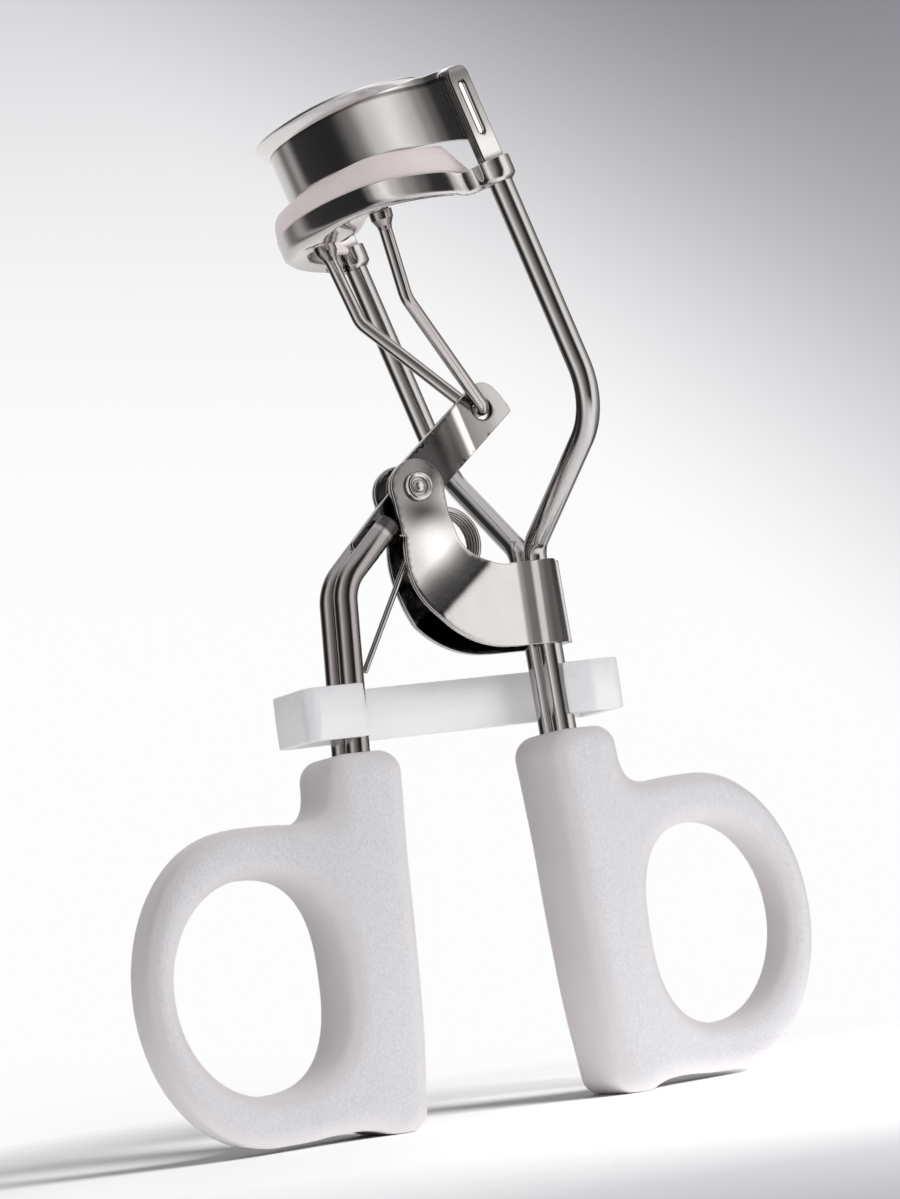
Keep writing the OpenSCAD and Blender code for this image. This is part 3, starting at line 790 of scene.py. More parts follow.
def jaw_plan(apex, r_main, half_angle, r_end, straight, to_rod=False):
    """Half of a jaw's plan from the middle to the near end: points and outward normals."""
    centre = np.array([apex + r_main, 0.0])
    h = math.radians(half_angle)
    end = centre - (r_main - r_end) * ray(h)
    pts = [(centre - r_main * ray(a), -ray(a)) for a in np.linspace(0, h, MAIN_STEPS)]
    pts += [(end - r_end * ray(a), -ray(a)) for a in np.linspace(h, math.pi / 2, END_STEPS)[1:]]
    last = pts[-1][0]
    if not to_rod:
        pts.append((last + np.array([straight, 0.0]), np.array([0.0, -1.0])))
        return pts
    # a small outward bend, then the strip wraps the arm wire; normals stay outward of the strip
    rod = np.array([0.0, -HALF_WIDTH])
    wrap, bend = WIRE_R + 0.08 + SHEET, 1.15
    line = last[1] - bend
    cx = -math.sqrt((wrap + bend) ** 2 - (line - rod[1]) ** 2)
    centre = np.array([cx, line])
    pts.append((np.array([(last[0] + cx) / 2, last[1]]), np.array([0.0, -1.0])))
    toward = unit(rod - centre)
    stop = math.atan2(toward[1], toward[0])
    pts += [(centre + bend * ray(a), -ray(a)) for a in np.linspace(math.pi / 2, stop, 12)]
    start = math.atan2(-toward[1], -toward[0])
    start += 2 * math.pi if start < 0 else 0
    pts += [(rod + wrap * ray(a), ray(a)) for a in np.linspace(start, start + math.radians(322), 60)[1:]]
    return pts


class Plan:
    """A jaw's whole plan by arc length from the middle, positive towards the near end. A call
    gives the place and the outward normal, as x, y, nx, ny."""

    def __init__(self, half):
        self.p, self.n = (np.array(part) for part in zip(*half))
        self.s = lengths(self.p)
        self.end = self.s[-1]

    def __call__(self, u):
        a = np.abs(u)
        x, y = np.interp(a, self.s, self.p[:, 0]), np.interp(a, self.s, self.p[:, 1])
        nx, ny = np.interp(a, self.s, self.n[:, 0]), np.interp(a, self.s, self.n[:, 1])
        size = np.hypot(nx, ny)
        flip = np.where(u < 0, -1.0, 1.0)
        return x, y * flip, nx / size, ny / size * flip


def jaw_points(p, y, q):
    """Rows of points given in the jaws' own frame."""
    p, y, q = (np.asarray(a, float) for a in (p, y, q))
    return JAW_ROOT + np.outer(p, ACROSS) + np.outer(q, UP) + np.outer(y, [0.0, 1.0, 0.0])


UPPER = Plan(jaw_plan(-10.1, 20.93, 42.12, 5.6, 1.45))
LOWER = Plan(jaw_plan(-12.0, 34.0, 16.43, 7.8, 1.8, to_rod=True))
PAD = Plan(jaw_plan(-12.0, 34.0, 16.43, 7.8, 1.7))
LOW_Q = 6.0                                    # the band's crown starts above this height


def fade(u):
    """One over the middle of the upper jaw, nothing at its ends."""
    return np.clip(1 - (np.abs(UPPER(u)[1]) / (HALF_WIDTH - 1)) ** 4, 0.01, 1.0)


def fold(u):
    """The height of the band's fold along the arms."""
    return BAND_TOP + BAND_CROWN * fade(u)


def band_place(u, v, w):
    """The upper jaw's sheet: v is the height below the fold's own height as one unit of
    LOW_Q to BAND_TOP, and above it the distance along the flange."""
    x, y, nx, ny = UPPER(u)
    crown = BAND_CROWN * fade(u)
    flare = np.radians(7 + 30 * fade(u))
    up = v - BAND_TOP
    bend = 0.3
    turned = np.clip(up / (bend * flare), 0, 1) * flare
    past = np.maximum(up - bend * flare, 0)
    out = bend * (1 - np.cos(turned)) + past * np.sin(flare)
    rise = bend * np.sin(turned) + past * np.cos(flare)
    below = v + crown * np.clip((v - LOW_Q) / (BAND_TOP - LOW_Q), 0, 1)
    q = np.where(up > 0, BAND_TOP + crown + rise, below)
    shift = out + w * np.cos(turned) - BAND_T / 2
    return jaw_points(x + nx * shift, y + ny * shift, q - w * np.sin(turned))


def upper_jaw():
    """The band with its flange, and the flared lip on it."""
    us = np.linspace(-UPPER.end + 0.05, UPPER.end - 0.05, 120)
    c = BAND_CROWN * fade(us) / (BAND_TOP - LOW_Q)
    low = (level(UPPER(us)[0], BAND_Z) + 0.02 + c * LOW_Q) / (1 + c)
    high = BAND_TOP + 0.78 + 0.5 * fade(us)
    paint(sheet("jaw_band", strip(us, low, high), band_place, BAND_T, 0.12, 0.45, "frame", "polished_steel",
                "upper_jaw", spacing=0.3), BAND)

    # the flared lip lies on the fold over the middle and lifts off it towards both round tips
    reach, tip, lip_t = 17.3, 0.7, 0.34

    def lip_place(u, v, w):
        x, y, nx, ny = UPPER(u)
        a = np.radians(28 + 19 * fade(u))
        shift = v * np.sin(a) + w * np.cos(a) - 0.16    # the lip's root is sunk in the band
        return jaw_points(x + nx * shift, y + ny * shift, fold(u) + v * np.cos(a) - w * np.sin(a))

    us = np.linspace(-reach, reach, 120)
    near_tip = np.clip((np.abs(us) - 8.5) / (reach - 8.5), 0, 1)
    lower = 0.78 * near_tip ** 1.5
    upper = 1.12 + 0.62 * fade(us)
    round_tip = np.sqrt(np.clip(1 - np.clip((np.abs(us) - (reach - tip)) / tip, 0, 1) ** 2, 0, 1))
    middle, half = (upper + lower) / 2, (upper - lower) / 2 * round_tip
    # both edges meet in one point at each tip, which is kept once
    lip = np.delete(strip(us, middle - half, middle + half), [len(us), -1], axis=0)
    paint(sheet("jaw_brim", lip, lip_place, lip_t, 0.1, 0.4, "frame", "polished_steel", spacing=0.2), BRIM)


upper_jaw()

# The channel's section down the middle of its sheet, and its length along it
WALL_IN, WALL_OUT = CHANNEL_W - SHEET / 2, SHEET / 2
SECTION = bent_path([at(p, 0) for p in ((WALL_OUT, CHANNEL_H), (WALL_OUT, SHEET / 2), (WALL_IN, SHEET / 2),
                                        (WALL_IN, CHANNEL_H))], [0.42, 0.42], steps=8)[:, [0, 2]]
SECTION_S = lengths(SECTION)
WALL_END = float(LOWER.s[MAIN_STEPS + END_STEPS - 1])    # where the strip starts its bend to the wire


def taper(u):
    """The channel narrows towards its ends, where only the outer strip goes on."""
    a = np.abs(u)
    return 1 - 0.5 * ease((a - 3.0) / 11.0) - 0.2 * ease((a - (WALL_END - 3.0)) / 3.0)


def channel_place(u, v, w):
    """The channel's sheet. v runs from the outer wall's top edge, under the channel, to the
    inner wall's top edge."""
    a = np.abs(u)
    x, y, nx, ny = LOWER(u)
    h = 0.02
    (i, behind_i, ahead_i), (k, behind_k, ahead_k) = (
        [np.interp(v + d, SECTION_S, SECTION[:, column]) for d in (0, -h, h)] for column in (0, 1))
    di, dk = ahead_i - behind_i, ahead_k - behind_k
    size = np.maximum(np.hypot(di, dk), 1e-9)
    i = i + w * dk / size
    k = k - w * di / size
    inner = np.maximum(i - SHEET / 2, 0.0)
    i = np.where(i > SHEET, SHEET / 2 + (i - SHEET / 2) * taper(u), i)
    # away from the middle, the underside slants up inwards
    slant = 0.3 * ease((a - 1.5) / 5.0)
    raised = k + slant * inner * taper(u) * np.clip(1 - k / CHANNEL_H, 0, 1)
    k = np.where(k < CHANNEL_H - 0.1, raised, k)
    px, py = x - nx * i, y - ny * i
    knee = ease((a - WALL_END + 0.8) / 2.0)
    q = level(px, CHANNEL_Z + k) * (1 - knee) + (level(-2.2, CHANNEL_Z) + k * 1.05) * knee
    return jaw_points(px, py, q)


def lower_jaw():
    """The channel, whose outer wall runs on at both ends as a strip round the arm."""
    wall = CHANNEL_H - 0.1
    deep = SECTION_S[-1]
    us = np.linspace(-LOWER.end + 0.05, LOWER.end - 0.05, 280)
    a = np.abs(us)
    # the outer wall's top edge dips a little before the collar
    top = 0.06 * ease((a - WALL_END + 1.8) / 2.0)
    narrow = ease((a - (WALL_END - 3.2)) / 2.4)
    bottom = deep - (deep - wall) * narrow
    paint(sheet("jaw_channel", strip(us, bottom, top), channel_place, SHEET, 0.13, 0.4, "lower_jaw",
                "polished_steel", "lower_jaw", spacing=0.25), STEEL)


lower_jaw()


def pad():
    """The silicone pad: it fills the channel and rises as a soft ridge under the band's edge."""
    end = PAD.end
    us = np.linspace(-end, end, 170)
    rim, top = CHANNEL_H + 0.02, CHANNEL_H + 2.68
    floor_k = 0.7
    profile = [(0.6, floor_k), (0.56, 1.5), (0.54, rim - 0.05), (0.10, rim), (0.06, rim + 0.25),
               (0.24, rim + 0.95), (0.7, rim + 1.75), (1.35, rim + 2.35), (1.8, top - 0.05), (2.5, top),
               (3.15, top - 0.1), (3.7, rim + 1.7), (4.15, rim + 0.6), (4.32, rim),
               (CHANNEL_W - 0.54, rim - 0.05), (CHANNEL_W - 0.56, 1.5), (CHANNEL_W - 0.6, floor_k)]
    loop = resample(rounded_loop(profile, 0.1, 3), 0.14)
    rings = []
    for u in us:
        a = abs(u)
        x, y, nx, ny = (float(c[0]) for c in PAD(np.array([u])))
        scale = float(taper(u))
        # the ridge sinks to the rim at both ends, and the bottom rises before them
        wedge = 1 - np.clip((a - (end - 1.75)) / 1.7, 0, 1) ** 1.15
        bottom = floor_k + (rim - 1.1) * float(ease((a - WALL_END + 4.2) / 1.8))
        ring = []
        for i, k in loop:
            i = 0.35 + (i - 0.35) * scale
            k = rim + (k - rim) * (0.03 + 0.97 * wedge) if k > rim else max(k, bottom)
            px, py = x - nx * i, y - ny * i
            ring.append(jaw(px, py, level(px, CHANNEL_Z + k)))
        rings.append(np.array(ring))
    v, f = join_rings(rings)
    paint(make("lash_pad", v, f, "lower_jaw", "silicone", "silicone_pad"), SILICONE)


pad()

# ---- wires ----

FLAT_FROM, FLAT_TO, TOP_Q = 2.0, 3.9, 13.1     # where an arm begins to flatten, is flat, and ends


def arm(side, name):
    """One arm: a wire that flattens to a slotted paddle at the top."""
    y = side * HALF_WIDTH
    top_q = TOP_Q - 0.35                          # the path's end, below the rounded tip
    bent = bent_path([jaw(0, y, top_q), at(ARM_BEND, y), at(ARM_KNEE, side * FIXED_Y),
                      at(FIXED_FOOT, side * FIXED_Y)], [8.0, 2.6], steps=24)
    upper = [bent[0] - UP * d for d in np.arange(0, TOP_Q - FLAT_FROM + 1.0, 0.12)]
    path = np.array(upper + list(bent[1:]))
    flat_a, flat_b = 1.2, 0.58                    # the paddle's half width and half thickness
    slot_half, slot_edge, slot_depth = 0.36, 0.11, 0.24

    def ring(i):
        q = float((path[i] - JAW_ROOT) @ UP)
        on_paddle = q >= 0 and np.linalg.norm(path[i] - jaw(0, y, q)) <= 0.05
        f = float(ease((q - FLAT_FROM) / (FLAT_TO - FLAT_FROM))) if on_paddle else 0.0
        a, b = WIRE_R + (flat_a - WIRE_R) * f, WIRE_R + (flat_b - WIRE_R) * f
        near_top = max(0.0, 1 - (top_q - q) / 0.9) if f > 0 else 0.0
        a -= 0.16 * near_top ** 3
        s = box_ring(a, b, max(0.22, min(a, b) * (1 - 0.62 * f)), 96)
        if f > 0.9:
            past = max(SLOT[0] - q, q - SLOT[1], 0.0)
            reach = math.sqrt(max(slot_half ** 2 - past ** 2, 0.0)) if past else slot_half
            outer = np.sign(s[:, 1]) == np.sign(sign_b * side)
            within = np.clip((reach - np.abs(s[:, 0])) / slot_edge, 0, 1)
            s[:, 1] -= np.where(outer, np.sign(s[:, 1]) * slot_depth * ease(within), 0)
        return s

    along = unit(path[1] - path[0])
    across = unit(ACROSS - along * (ACROSS @ along))
    sign_b = float(np.sign(np.cross(along, across)[1]))
    v, f = join_rings(sweep(path, ACROSS, ring))
    paint(make(f"arm_{name}", v, f, "frame", "wire_steel", f"arm_wire_{name}"), ARM)


for side, name in SIDES:
    arm(side, name)

for side, name in SIDES:
    y = side * MOVING_Y
    paint(wire(f"handle_rod_{name}", [at(HANDLE_TOP, y), at(HANDLE_BEND, y), at(MOVING_FOOT, y)], [4.6], WIRE_R,
               "handle", "wire_steel", f"handle_wire_{name}", steps=18), HANDLE)


def push_link():
    """The bent wire from one ball joint through the lever's hole to the other, and its ferrules."""
    balls = [BALL + [0, side * BALL_Y, 0] for side, _ in SIDES]
    drops = [unit(at(LINK_KINK, side * LINK_KINK_Y) - ball) for ball, (side, _) in zip(balls, SIDES)]
    front, back_end = (ball + 1.6 * drop for ball, drop in zip(balls, drops))
    points = [front, at(LINK_KINK, -LINK_KINK_Y), at(LEVER_HOLE, -0.95), at(LEVER_HOLE, 0.95),
              at(LINK_KINK, LINK_KINK_Y), back_end]
    paint(wire("link_rod", points, [2.5, 0.9, 0.9, 2.5], LINK_R, "push_link", "wire_steel", "push_link",
               sides=24), WIRE)
    profile = rounded([(0.0, -0.85), (0.8, -0.8), (1.12, -0.35), (1.16, 0.55), (0.86, 0.62), (0.86, 0.8),
                       (1.14, 0.9), (1.1, 1.7), (0.74, 2.35), (0.66, 2.75), (0.6, 2.8)], 0.1)
    for ball, drop, (_, name) in zip(balls, drops, SIDES):
        paint(lathe(f"ferrule_{name}", profile, ball, drop, "push_link", "polished_steel",
                    f"link_ferrule_{name}"), FERRULE)


push_link()

# ---- pivot ----

LEAN = math.atan2(FIXED_FOOT[0] - ARM_KNEE[0], ARM_KNEE[1] - FIXED_FOOT[1])
CLAMP_R = WIRE_R + 0.02 + SHEET_T / 2           # the middle of the sheet that wraps an arm wire
BRACKET_FOOT = -16.3


def clamp_x(v):
    """The X of the arm wires' middle, at the height v in the bracket."""
    return ARM_KNEE[0] + (ARM_KNEE[1] - v) * math.tan(LEAN)


def bracket_place(side):
    """One half of the bracket: the ear, stepped out along the fold, then round the arm wire."""
    clamp_y, run, power = FIXED_Y + CLAMP_R, 4.0, 1.6

    def step(d):
        return np.clip((d + run) / run, 0, 1) ** power

    def place(u, v, w):
        d = (u - FOLD_A[0]) * FOLD_N[0] + (v - FOLD_A[1]) * FOLD_N[1]
        y = EAR_Y + (clamp_y - EAR_Y) * step(d)
        h = 0.02
        slope = (clamp_y - EAR_Y) * (step(d + h) - step(d - h)) / (2 * h)
        normal = np.stack([-slope * FOLD_N[0], np.ones_like(u), -slope * FOLD_N[1]], 1)
        normal /= np.linalg.norm(normal, axis=1, keepdims=True)
        flat = np.stack([u, y, v], 1)
        # round the wire and along its right-hand side
        over = u - clamp_x(v)
        quarter = CLAMP_R * math.pi / 2
        on = np.clip(over, 0, quarter) / CLAMP_R
        past = np.maximum(over - quarter, 0)
        bent = np.stack([clamp_x(v) + CLAMP_R * np.sin(on), FIXED_Y + CLAMP_R * np.cos(on) - past, v], 1)
        bent_normal = np.stack([np.sin(on), np.cos(on), np.zeros_like(on)], 1)
        on_wire = (over > 0)[:, None]
        pos = np.where(on_wire, bent, flat) + np.where(on_wire, bent_normal, normal) * w[:, None]
        pos[:, 1] *= side
        return pos
    return place


def bracket_outline(reach):
    """Side view of one half: a round ear, a neck, and a body that runs to the wires."""
    ear = arc((0, -0.1), 2.85, -12, 196, 30)
    left = [(-2.74, -0.9), (-2.35, -4.6)]
    big = arc((7.4, -6.6), 9.65, 168, 271, 34)
    right = [(7.6, BRACKET_FOOT + 0.02), (reach, BRACKET_FOOT), (reach, -7.95), (8.1, -8.2)]
    cut = arc((8, -3.5), 4.75, -88, -170, 26)
    return np.array(ear + left + big + right + cut + [(2.9, -2.6)])


def bracket():
    """Both halves, and the strip's free end folded against the clamp's right-hand side."""
    outline = bracket_outline(ARM_KNEE[0] + CLAMP_R * math.pi / 2 + 1.2)[::-1]
    for side, name in SIDES:
        piece = sheet(f"bracket_{name}", outline, bracket_place(side), SHEET_T, 0.13, 0.35, "frame",
                      "polished_steel", *(["pivot_bracket"] if side < 0 else []), spacing=0.25)
        paint(piece, PLATE if side < 0 else INNER)

    def place(u, v, w):
        return np.stack([clamp_x(v) + CLAMP_R + SHEET_T / 2 + 0.32 + w, u, v], 1)

    half, low, high = 1.5, BRACKET_FOOT, -8.1
    outline = np.array([(-half, low), (half, low), (half, high), (-half, high)])
    paint(sheet("bracket_end", outline, place, 0.55, 0.12, 0.4, "frame", "polished_steel", spacing=0.3), STEEL)


bracket()

def rivet():
    """A rolled ring with a domed centre on each side, and the shank between them."""
    head = EAR_Y + SHEET_T / 2
    dome = [(0.0, 0.62), (0.28, 0.6), (0.5, 0.5), (0.62, 0.3), (0.66, 0.14), (0.8, 0.16), (0.9, 0.42),
            (1.1, 0.58), (1.3, 0.52), (1.44, 0.3), (1.45, 0.02), (1.35, 0.0), (0.9, -0.02)]
    for side, name in SIDES:
        paint(lathe(f"rivet_{name}", rounded(dome, 0.08), (0.0, side * head, 0.0), (0, side, 0), "frame",
                    "polished_steel", *(["pivot_rivet"] if side < 0 else [])), STEEL)
    shank_r = 0.9
    paint(lathe("rivet_shank", [(shank_r, -head), (shank_r, head)], (0, 0, 0), (0, 1, 0), "frame",
                "polished_steel"), STEEL)


rivet()


def lever():
    """The flat arm with the link's hole, very slightly bowed as stamping leaves it, and the tail
    that runs back between the handle wires."""
    rise = math.atan2(LEVER_HOLE[1], LEVER_HOLE[0])
    c, s = math.cos(rise), math.sin(rise)
    half, length, tail_half, tail_length = 2.3, 14.3, 1.5, 8.5
    outline = [(length - 0.25, -half), (length, -half + 2.0), (length - 0.1, half), (0.6, half), (-half, half),
               (-half, -half), (0.6, -half)]
    loop = turned(rounded_loop(outline, [0.35, 3.0, 1.75, 0, 2.25, 2.25, 0], 10), rise)
    hole = np.array(arc(LEVER_HOLE, 1.0, 0, 360, 40)[:-1])

    def place(u, v, w):
        bow = 0.05 * np.cos(np.clip((u * c + v * s) / length, 0, 1) * math.pi * 2)
        return np.stack([u, w + bow - 0.05, v], 1)

    paint(sheet("lever_arm", loop, place, 0.96, 0.13, 0.4, "handle", "polished_steel", "lever_plate",
                holes=[hole], spacing=0.22), LEVER)
    tail = [(0, -tail_half), (tail_length, -tail_half), (tail_length, tail_half), (0, tail_half)]
    tail = turned(rounded_loop(tail, 0.5), math.radians(224.5))
    paint(sheet("lever_tail", tail, lambda u, v, w: np.stack([u, w, v], 1), 0.9, 0.13, 0.4, "handle",
                "polished_steel", spacing=0.3), LEVER)


lever()

# ---- spring ----

def spring():
    """A coil between the ears, with a short leg in the bracket and a long one that presses on the
    handle wires."""
    middle, radius, turns, per_turn = (2.9, -5.6), 3.4, 3.5, 40
    pitch = SPRING_R * 2 * 1.04
    y0 = -turns * pitch / 2
    coil = []
    for i in range(int(turns * per_turn) + 1):
        a = math.radians(152 - 360 * i / per_turn)
        coil.append(at((middle[0] + radius * math.cos(a), middle[1] + radius * math.sin(a)),
                       y0 + pitch * i / per_turn))
    leg = at((-7.86, -17.1), y0 - 0.25)
    long_leg = [leg + (coil[0] - leg) * k / 24 for k in range(24)]
    path = np.array(long_leg + coil + [at((6.6, -13.6), -y0)])
    v, f = join_rings(sweep(path, (0.2, 1, 0.1), lambda i: round_ring(SPRING_R, 14)))
    piece = make("torsion_spring", v, f, None, "spring_steel", "return_spring")
    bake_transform(piece)
    paint(piece, SPRING)


spring()

# ---- grips ----

# One grip's side view, drawn for the right-hand side of the plane they mirror each other in
GRIP_MID = 1.3
STEM = np.array([(10.25, -60.2), (13.4, -60.2), (16.6, -57), (15.4, -24.7), (7.75, -24.7)])
LOOP_C = (24.4, -44.9)


def polygon_distance(px, pz, poly):
    """Signed distance to a convex polygon that runs counter-clockwise."""
    best = np.full(px.shape, 1e9)
    inner = np.full(px.shape, -1e9)
    for a, b in zip(poly, np.roll(poly, -1, 0)):
        e = b - a
        wx, wz = px - a[0], pz - a[1]
        t = np.clip((wx * e[0] + wz * e[1]) / (e @ e), 0, 1)
        best = np.minimum(best, (wx - t * e[0]) ** 2 + (wz - t * e[1]) ** 2)
        n = np.array([e[1], -e[0]]) / math.sqrt(e @ e)
        inner = np.maximum(inner, wx * n[0] + wz * n[1])
    return np.where(inner < 0, -1.0, 1.0) * np.sqrt(best)


def egg_distance(px, pz, w, h, n, sx=1.0):
    """Signed distance, near enough, to the loop's outline: an ellipse away from the stem and
    a squarer curve of power n, sx times as wide, next to it."""
    dx, dz = px - LOOP_C[0], np.abs(pz - LOOP_C[1])
    near = dx < 0
    a = np.where(near, sx, 1.0) * w / 2
    k = np.where(near, n, 2.0)
    u, v = np.maximum(np.abs(dx) / a, 1e-6), np.maximum(dz / (h / 2), 1e-6)
    rho = (u ** k + v ** k) ** (1 / k)
    slope = np.hypot((u / rho) ** (k - 1) / a, (v / rho) ** (k - 1) / (h / 2))
    return (rho - 1) / np.maximum(slope, 1e-6)


def smooth_min(a, b, k):
    """The smaller of two, with the crease between them filled over a width of k."""
    h = np.clip(0.5 + 0.5 * (b - a) / k, 0, 1)
    return b * (1 - h) + a * h - k * h * (1 - h)


def smooth_max(a, b, k):
    return -smooth_min(-a, -b, k)


def grip_field(side):
    """Signed distance, near enough, to the grip on the given side."""
    stem_r = 2.2
    inner_stem = inset(STEM, stem_r)
    lean = math.radians(4.04)

    def field(x, y, z):
        x = (x - GRIP_MID) * side
        stem = polygon_distance(x, z, inner_stem) - stem_r
        flat = smooth_min(stem, egg_distance(x, z, 22.0, 29.2, 3.0, 1.18), 4.6)
        flat = smooth_max(flat, -egg_distance(x, z, 16.3, 19.8, 2.6), 0.3)
        # thick at the stem's edge, thinner towards the loop; softer edges on the stem
        across = (x - 6.0) * math.cos(lean) + z * math.sin(lean)
        half = 5.1 - 2.0 * ease((across - 2.5) / 12.5)
        r = 1.75 + 0.3 * ease((6.5 - across) / 5.0)
        wx, wy = flat + r, np.abs(y) - half + r
        solid = np.minimum(np.maximum(wx, wy), 0) + np.hypot(np.maximum(wx, 0), np.maximum(wy, 0)) - r
        return smooth_max(solid, -PIVOT[2] - z, 0.25)      # the stem's foot is flat on the floor
    return field


def grip(side, name, node, body):
    near, far = sorted((side * 7.0, side * 35.5))
    lo, hi = np.array([GRIP_MID + near, -5.2, -60.2]), np.array([GRIP_MID + far, 5.2, -24.5])
    v, f = nets(grip_field(side), lo, hi, 0.4)
    paint(make(name, v, f, body, "white_grip", node), WHITE)


grip(1, "grip_right", "fixed_grip", "frame")
grip(-1, "grip_left", "moving_grip", "handle")

# ---- clip ----

def clip():
    """A bar behind the wires and a hook round each pair."""
    left, right, back, front, t = -15.6, 18.2, 4.2, -4.15, 1.1
    outline = [(-9.4, front), (left, front), (left, back), (right, back), (right, front), (14.7, front),
               (12.2, front + 0.85), (12.2, front + t), (right - t, front + t), (right - t, back - t),
               (left + t, back - t), (left + t, front + t), (-9.4, front + t)]
    radii = [0.3, 1.0, 1.0, 1.0, 1.0, 0.3, 0.12, 0.12, 0.25, 0.3, 0.3, 0.25, 0.3]
    low, high = CLIP_Z
    paint(sheet("clip", rounded_loop(outline, radii), lambda u, v, w: np.stack([u, v, (low + high) / 2 + w], 1),
                high - low, 0.3, 0.5, "clip", "frosted_clip", "retaining_clip", spacing=0.3), FROST)


clip()

for node in ("pivot_washer_front", "pivot_washer_back"):
    paint(frame["nodes"][node], STEEL)

# ---- stage, light and camera ----

# The camera about the pivot: where it stands, how it is rolled, how far it is moved across the
# view to the right and up, and its lens on a full-frame sensor, in degrees and millimetres
AZIMUTH, ELEVATION, ROLL = math.radians(-26.953), math.radians(-5.858), math.radians(8.174)
DISTANCE, MOVED = 307.588, (4.046, -10.4522)
LENS, SENSOR = 95.8687, 36.0
FLOOR_TONE = 0.46
LAMP_FAR = 420
MATT_DIM = 0.22                                # how much less the world lights the matt parts
# The studio's walls: how bright they are at each angle round from the camera, in degrees
WALLS = ((-180, 0.9), (-150, 0.8), (-138, 0.2), (-130, 0.5), (-122, 0.05), (-86, 0.03), (-74, 0.25),
         (-62, 0.9), (-50, 1.3), (-36, 0.8), (-16, 0.42), (4, 0.18), (18, 0.05), (38, 0.04), (44, 0.7),
         (54, 1.35), (76, 1.3), (104, 0.5), (122, 0.3), (138, 0.08), (150, 0.2), (160, 0.9), (180, 0.9))

back = np.array([math.sin(AZIMUTH) * math.cos(ELEVATION), -math.cos(AZIMUTH) * math.cos(ELEVATION),
                 math.sin(ELEVATION)])
right = np.array([math.cos(AZIMUTH), math.sin(AZIMUTH), 0.0])
up = np.cross(back, right)


def stand(obj, x_axis, y_axis, z_axis, where):
    """Puts a camera or a lamp in the scene, with its axes, at a place in millimetres."""
    rows = [[*map(float, (x_axis[i], y_axis[i], z_axis[i], where[i] / 1000))] for i in range(3)]
    obj.matrix_world = Matrix(rows + [[0, 0, 0, 1]])
    bpy.context.scene.collection.objects.link(obj)
    return obj


def camera():
    """The camera, rolled about its own axis."""
    cam_right = math.cos(ROLL) * right - math.sin(ROLL) * up
    cam_up = math.sin(ROLL) * right + math.cos(ROLL) * up
    data = bpy.data.cameras.new("camera")
    data.lens, data.sensor_width = LENS, SENSOR
    data.clip_start, data.clip_end = 0.01, 10.0
    where = PIVOT + back * DISTANCE + cam_right * MOVED[0] + cam_up * MOVED[1]
    bpy.context.scene.camera = stand(bpy.data.objects.new("camera", data), cam_right, cam_up, back, where)


camera()


def floor():
    """A pale floor that fades out into the backdrop away from the object."""
    size, n = 0.9, 24
    verts = [(x * size, y * size, 0.0) for y in np.linspace(-1, 1, n) for x in np.linspace(-1, 1, n)]
    faces = [(j * n + i, j * n + i + 1, (j + 1) * n + i + 1, (j + 1) * n + i)
             for j in range(n - 1) for i in range(n - 1)]
    mesh = bpy.data.meshes.new("floor")
    mesh.from_pydata(verts, [], faces)
    obj = bpy.data.objects.new("floor", mesh)
    bpy.context.scene.collection.objects.link(obj)
    n = Nodes("floor")
    # the pale surface sinks a little towards the picture's lower right corner
    window = n.split(n.coord("Window"))
    low = n.math("POWER", n.remap(window["Y"], 0.10, 0.0, 0.0, 1.0), 1.5)
    side = n.remap(window["X"], 0.1, 1.0, 0.10, 0.55)
    speck = n.remap(n.noise(0.05, 3.0), 0.2, 0.8, 0.97, 1.0)
    tone = n.math("MULTIPLY", n.math("SUBTRACT", 1.0, n.math("MULTIPLY", low, side)), speck)
    n.set(Base_Color=n.vector("SCALE", (FLOOR_TONE, FLOOR_TONE, FLOOR_TONE * 1.01), scale=tone), Roughness=0.6,
          Specular_IOR_Level=0.1)
    away = n.vector("LENGTH", n.vector("MULTIPLY", n.mm, (1, 1, 0)))
    mix = n.add("ShaderNodeMixShader")
    n.put(mix.inputs[0], n.remap(away, 52.0, 100.0, 0.0, 1.0))
    n.put(mix.inputs[1], n.bsdf.outputs[0])
    n.put(mix.inputs[2], n.add("ShaderNodeBsdfTransparent").outputs[0])
    n.put(n.tree.nodes["Material Output"].inputs[0], mix.outputs[0])
    mesh.materials.append(n.mat)
    return obj


ground = floor()


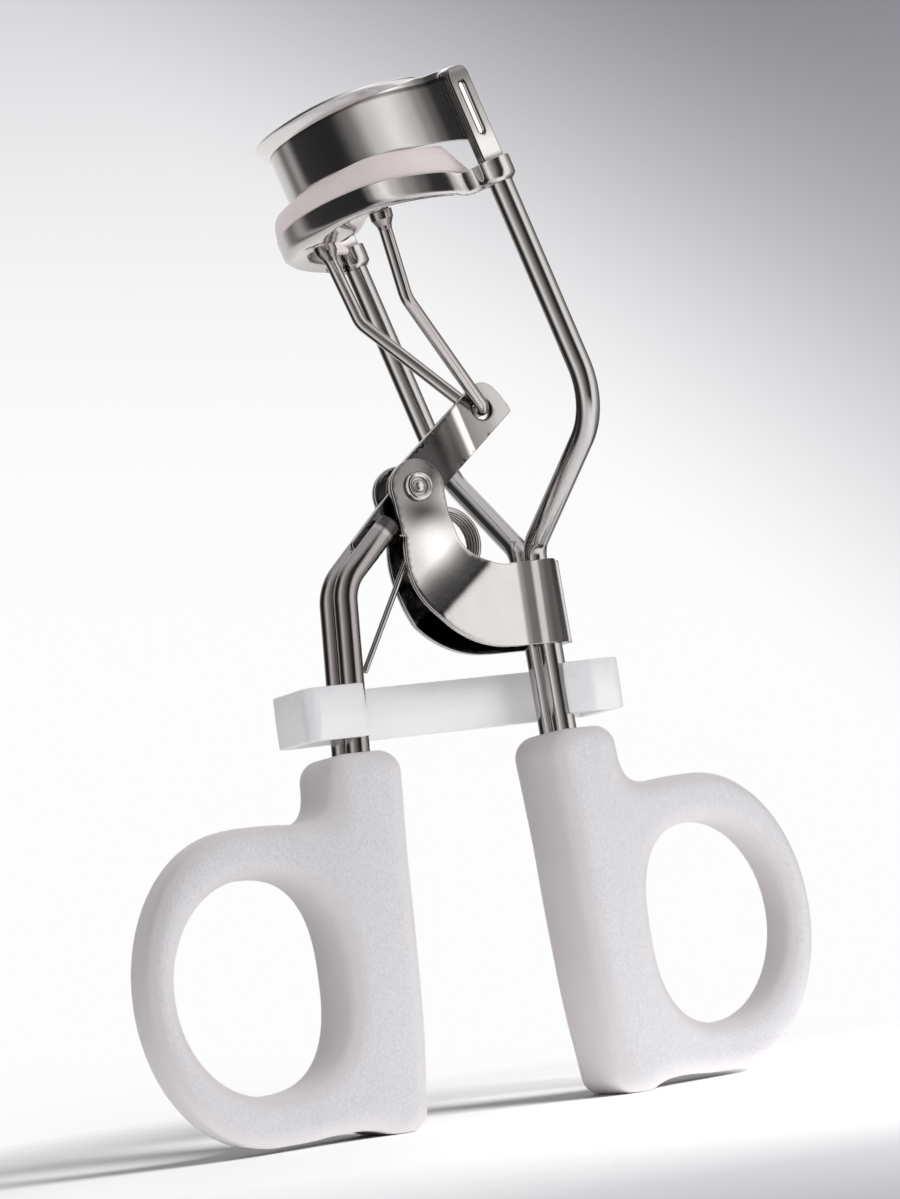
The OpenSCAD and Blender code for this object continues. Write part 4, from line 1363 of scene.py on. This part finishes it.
def world():
    """A studio all round the object: pale walls with dark flags between them, by direction, and
    for the camera itself a pale backdrop that darkens towards the upper right."""
    w = bpy.data.worlds.new("studio")
    bpy.context.scene.world = w
    w.use_nodes = True
    n = Tree(w.node_tree)
    way = n.split(n.coord("Generated"))
    # the direction's azimuth from the camera's, as 0 to 1 with 0.5 towards the camera
    angle = n.math("SUBTRACT", n.math("ARCTAN2", way["Y"], way["X"]), math.atan2(back[1], back[0]))
    round_camera = n.math("FRACT", n.math("ADD", n.math("DIVIDE", angle, 2 * math.pi), 2.5))
    walls = n.ramp(round_camera, [((degrees + 180) / 360, (tone, tone * 0.985, tone * 0.975))
                                  for degrees, tone in WALLS])
    # towards straight up and down the pattern gives way to even light
    steep = n.remap(n.math("ABSOLUTE", way["Z"]), 0.62, 0.9, 0.0, 1.0)
    studio = n.mix(steep, walls, (0.86, 0.86, 0.88))
    # the camera's own backdrop: darker at the top, towards the upper right and at the foot
    window = n.split(n.coord("Window"))
    u, v = window["X"], window["Y"]
    rise = n.math("DIVIDE", n.math("SUBTRACT", v, 0.42), 0.58, True)
    at_top = n.math("MULTIPLY", n.math("POWER", rise, 2.7), 0.148)
    diagonal = n.math("ADD", u, n.math("MULTIPLY", v, 1.65))
    at_corner = n.remap(diagonal, 1.614, 2.564, 0.0, 0.29, "SMOOTHSTEP")
    sink = n.math("POWER", n.math("DIVIDE", n.math("SUBTRACT", 0.12, v), 0.12, True), 1.5)
    at_foot = n.math("MULTIPLY", n.math("MULTIPLY", sink, n.math("ADD", u, 0.1)), 0.22)
    shade = n.math("SUBTRACT", 0.992, n.math("ADD", n.math("ADD", at_top, at_corner), at_foot))
    bluer = n.math("MULTIPLY", n.math("SUBTRACT", 1.0, shade), 2.2, True)
    tint = n.mix(bluer, (1.0, 1.0, 1.0), (0.965, 0.962, 1.05))
    backdrop = n.vector("SCALE", tint, scale=n.math("POWER", shade, 2.2))
    # what lights the matt parts is dimmer than what the metal mirrors
    ray = n.add("ShaderNodeLightPath").outputs
    dimmer = n.math("SUBTRACT", 1.0, n.math("MULTIPLY", ray["Is Diffuse Ray"], MATT_DIM))
    light = n.vector("SCALE", studio, scale=dimmer)
    n.put(n.tree.nodes["Background"].inputs["Color"], n.mix(ray["Is Camera Ray"], light, backdrop))


world()


def lamp(name, towards, size, power):
    """A soft square lamp that faces the pivot from the given direction (right, up, back)."""
    way = unit(towards[0] * right + towards[1] * np.array([0, 0, 1.0]) + towards[2] * back)
    light = bpy.data.lights.new(name, "AREA")
    light.shape, light.size, light.size_y = "RECTANGLE", size, size
    light.energy = power
    side = unit(np.cross(-way, [0, 0, 1.0]))
    obj = stand(bpy.data.objects.new(name, light), side, np.cross(side, -way), way, PIVOT + way * LAMP_FAR)
    obj.visible_glossy = False                 # the metal mirrors the studio, not the lamps
    return obj


lamp("key", (1.0, 0.45, 0.6), 0.14, 0.32)
# nearly the same direction again for the floor alone, so that the shadows stay deep under a soft light
floor_key = lamp("key_floor", (1.0, 0.40, 0.8), 0.17, 10.0)
lit = bpy.data.collections.new("lit_floor")
lit.objects.link(ground)
floor_key.light_linking.receiver_collection = lit

bpy.context.scene.view_settings.view_transform = "Standard"
bpy.context.scene.view_settings.look = "None"
